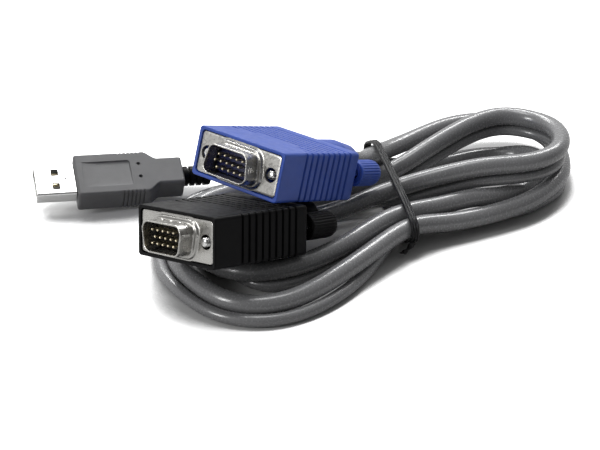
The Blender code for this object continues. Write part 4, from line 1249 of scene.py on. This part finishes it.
class CABLE_OT_stage(bpy.types.Operator):
    """Set the white floor, the soft lamps and the photograph's camera"""

    bl_idname = "cable.stage"
    bl_label = "Stage"

    def execute(self, context):
        scene = context.scene
        scene.view_settings.view_transform = "Standard"
        self.add_camera(scene)
        self.add_floor(scene)
        self.add_world(scene)
        self.add_lamp("key", (0.00, 0.72, 0.78), (1.30, 0.13), 11.0)
        self.add_lamp("overhead", (-0.10, 0.15, 1.00), (0.60, 0.30), 3.0)
        self.add_lamp("front left", (-0.70, -0.42, 0.42), (0.22, 0.30), 3.0)
        return {"FINISHED"}

    def add_camera(self, scene):
        """The camera at the photograph's angle."""
        data = bpy.data.cameras.new("camera")
        data.sensor_width = SENSOR
        data.lens = VIEW_LENS
        camera = bpy.data.objects.new("camera", data)
        scene.collection.objects.link(camera)
        back = Vector((0.0, -math.cos(VIEW_ELEVATION), math.sin(VIEW_ELEVATION)))
        camera.location = VIEW_TARGET + back * VIEW_DISTANCE
        camera.rotation_euler = (math.pi / 2 - VIEW_ELEVATION, 0.0, 0.0)
        data.shift_y = VIEW_SHIFT
        scene.camera = camera

    def add_floor(self, scene):
        """A wide pale floor that keeps the cable's shadow and adds painted shadow and shade round it."""
        paint = scene.cable_colours.floor
        made = Finish("floor", paint, 0.9, specular=0.0)
        made.shader.inputs["Emission Color"].default_value = (1.0, 1.0, 1.0, 1.0)
        tree = made.material.node_tree
        # Painted contact shadow: the camera's glow fades where things stand near the floor
        contact_shadow_ao = made.nodes.new("ShaderNodeAmbientOcclusion")
        contact_shadow_ao.inputs["Distance"].default_value = FLOOR_SHADOW_NEAR
        near = ranged(tree, contact_shadow_ao.outputs["AO"], (0.28, 0.75), (0.0, FLOOR_GLOW))
        # Painted shade inside the loops: where strands close the floor in, the glow goes out and the camera
        # sees the dim paint
        loop_shade_ao = made.nodes.new("ShaderNodeAmbientOcclusion")
        loop_shade_ao.inputs["Distance"].default_value = FLOOR_SHADE_AROUND
        enclosed = ranged(tree, loop_shade_ao.outputs["AO"], (0.56, 0.70), (0.0, 1.0))
        seen = made.nodes.new("ShaderNodeLightPath").outputs["Is Camera Ray"]
        open_floor = reckoned(tree, "MULTIPLY", near, enclosed)
        made.links.new(reckoned(tree, "MULTIPLY", open_floor, seen), made.shader.inputs["Emission Strength"])
        shade = made.nodes.new("ShaderNodeMix")
        shade.data_type = "RGBA"
        shade.inputs["A"].default_value = (*[FLOOR_BOUNCE_AND_SHADE_PAINT] * 3, 1.0)
        shade.inputs["B"].default_value = (*paint, 1.0)
        made.links.new(reckoned(tree, "MULTIPLY", enclosed, seen), shade.inputs["Factor"])
        made.links.new(shade.outputs["Result"], made.shader.inputs["Base Color"])
        reach = 6.0
        corners = [(-reach, -reach, 0.0), (reach, -reach, 0.0), (reach, reach, 0.0), (-reach, reach, 0.0)]
        mesh = bpy.data.meshes.new("floor")
        mesh.from_pydata(corners, [], [(0, 1, 2, 3)])
        mesh.materials.append(made.material)
        floor = bpy.data.objects.new("floor", mesh)
        scene.collection.objects.link(floor)

    def add_world(self, scene):
        """Light that is brightest behind, above and to the left, and white where the background shows."""
        world = bpy.data.worlds.new("studio")
        world.use_nodes = True
        tree = world.node_tree
        background = tree.nodes["Background"]
        background.inputs["Color"].default_value = (1.0, 1.0, 1.0, 1.0)
        apart = tree.nodes.new("ShaderNodeSeparateXYZ")
        tree.links.new(tree.nodes.new("ShaderNodeTexCoord").outputs["Generated"], apart.inputs["Vector"])
        behind = ranged(tree, apart.outputs["Y"], (-0.2, 0.9), (0.10, 0.75))
        left = ranged(tree, apart.outputs["X"], (-1.0, 0.1), (0.34, 0.0))
        above = ranged(tree, apart.outputs["Z"], (0.1, 0.9), (0.0, 0.15))
        light = reckoned(tree, "ADD", reckoned(tree, "ADD", behind, left), above)
        seen = tree.nodes.new("ShaderNodeLightPath").outputs["Is Camera Ray"]
        tree.links.new(reckoned(tree, "MAXIMUM", light, seen), background.inputs["Strength"])
        scene.world = world

    def add_lamp(self, name, place, size, power):
        """A soft rectangle of light that faces the cable."""
        data = bpy.data.lights.new(name, "AREA")
        data.shape = "RECTANGLE"
        data.size, data.size_y = size
        data.energy = power
        lamp = bpy.data.objects.new(name, data)
        bpy.context.scene.collection.objects.link(lamp)
        lamp.location = place
        lamp.rotation_euler = (VIEW_TARGET - lamp.location).to_track_quat("-Z", "Y").to_euler()


class CABLE_PT_panel(bpy.types.Panel):
    """Lists the cable's steps, sizes and colours"""

    bl_label = "KVM cable"
    bl_space_type = "VIEW_3D"
    bl_region_type = "UI"
    bl_category = "Cable"

    def draw(self, context):
        for step in STEPS:
            self.layout.operator(step.bl_idname)
        for group in (context.scene.cable_sizes, context.scene.cable_colours):
            box = self.layout.box()
            for name in group.__annotations__:
                box.prop(group, name)


STEPS = (CABLE_OT_stage, CABLE_OT_hoods, CABLE_OT_faces, CABLE_OT_thumbscrews, CABLE_OT_usb_plug,
         CABLE_OT_cords, CABLE_OT_tie)
CLASSES = (CableSizes, CableColours, *STEPS, CABLE_PT_panel)


def register():
    """Registers the classes and the scene's settings."""
    for item in CLASSES:
        bpy.utils.register_class(item)
    bpy.types.Scene.cable_sizes = bpy.props.PointerProperty(type=CableSizes)
    bpy.types.Scene.cable_colours = bpy.props.PointerProperty(type=CableColours)


def unregister():
    """Takes the settings and the classes away again."""
    del bpy.types.Scene.cable_sizes
    del bpy.types.Scene.cable_colours
    for item in reversed(CLASSES):
        bpy.utils.unregister_class(item)


def main():
    """Runs every step."""
    register()
    make_finishes(bpy.context.scene.cable_colours)
    bpy.ops.cable.stage()
    bpy.ops.cable.hoods()
    bpy.ops.cable.faces()
    bpy.ops.cable.thumbscrews()
    bpy.ops.cable.usb_plug()
    bpy.ops.cable.cords()
    bpy.ops.cable.tie()


if __name__ == "__main__":
    main()
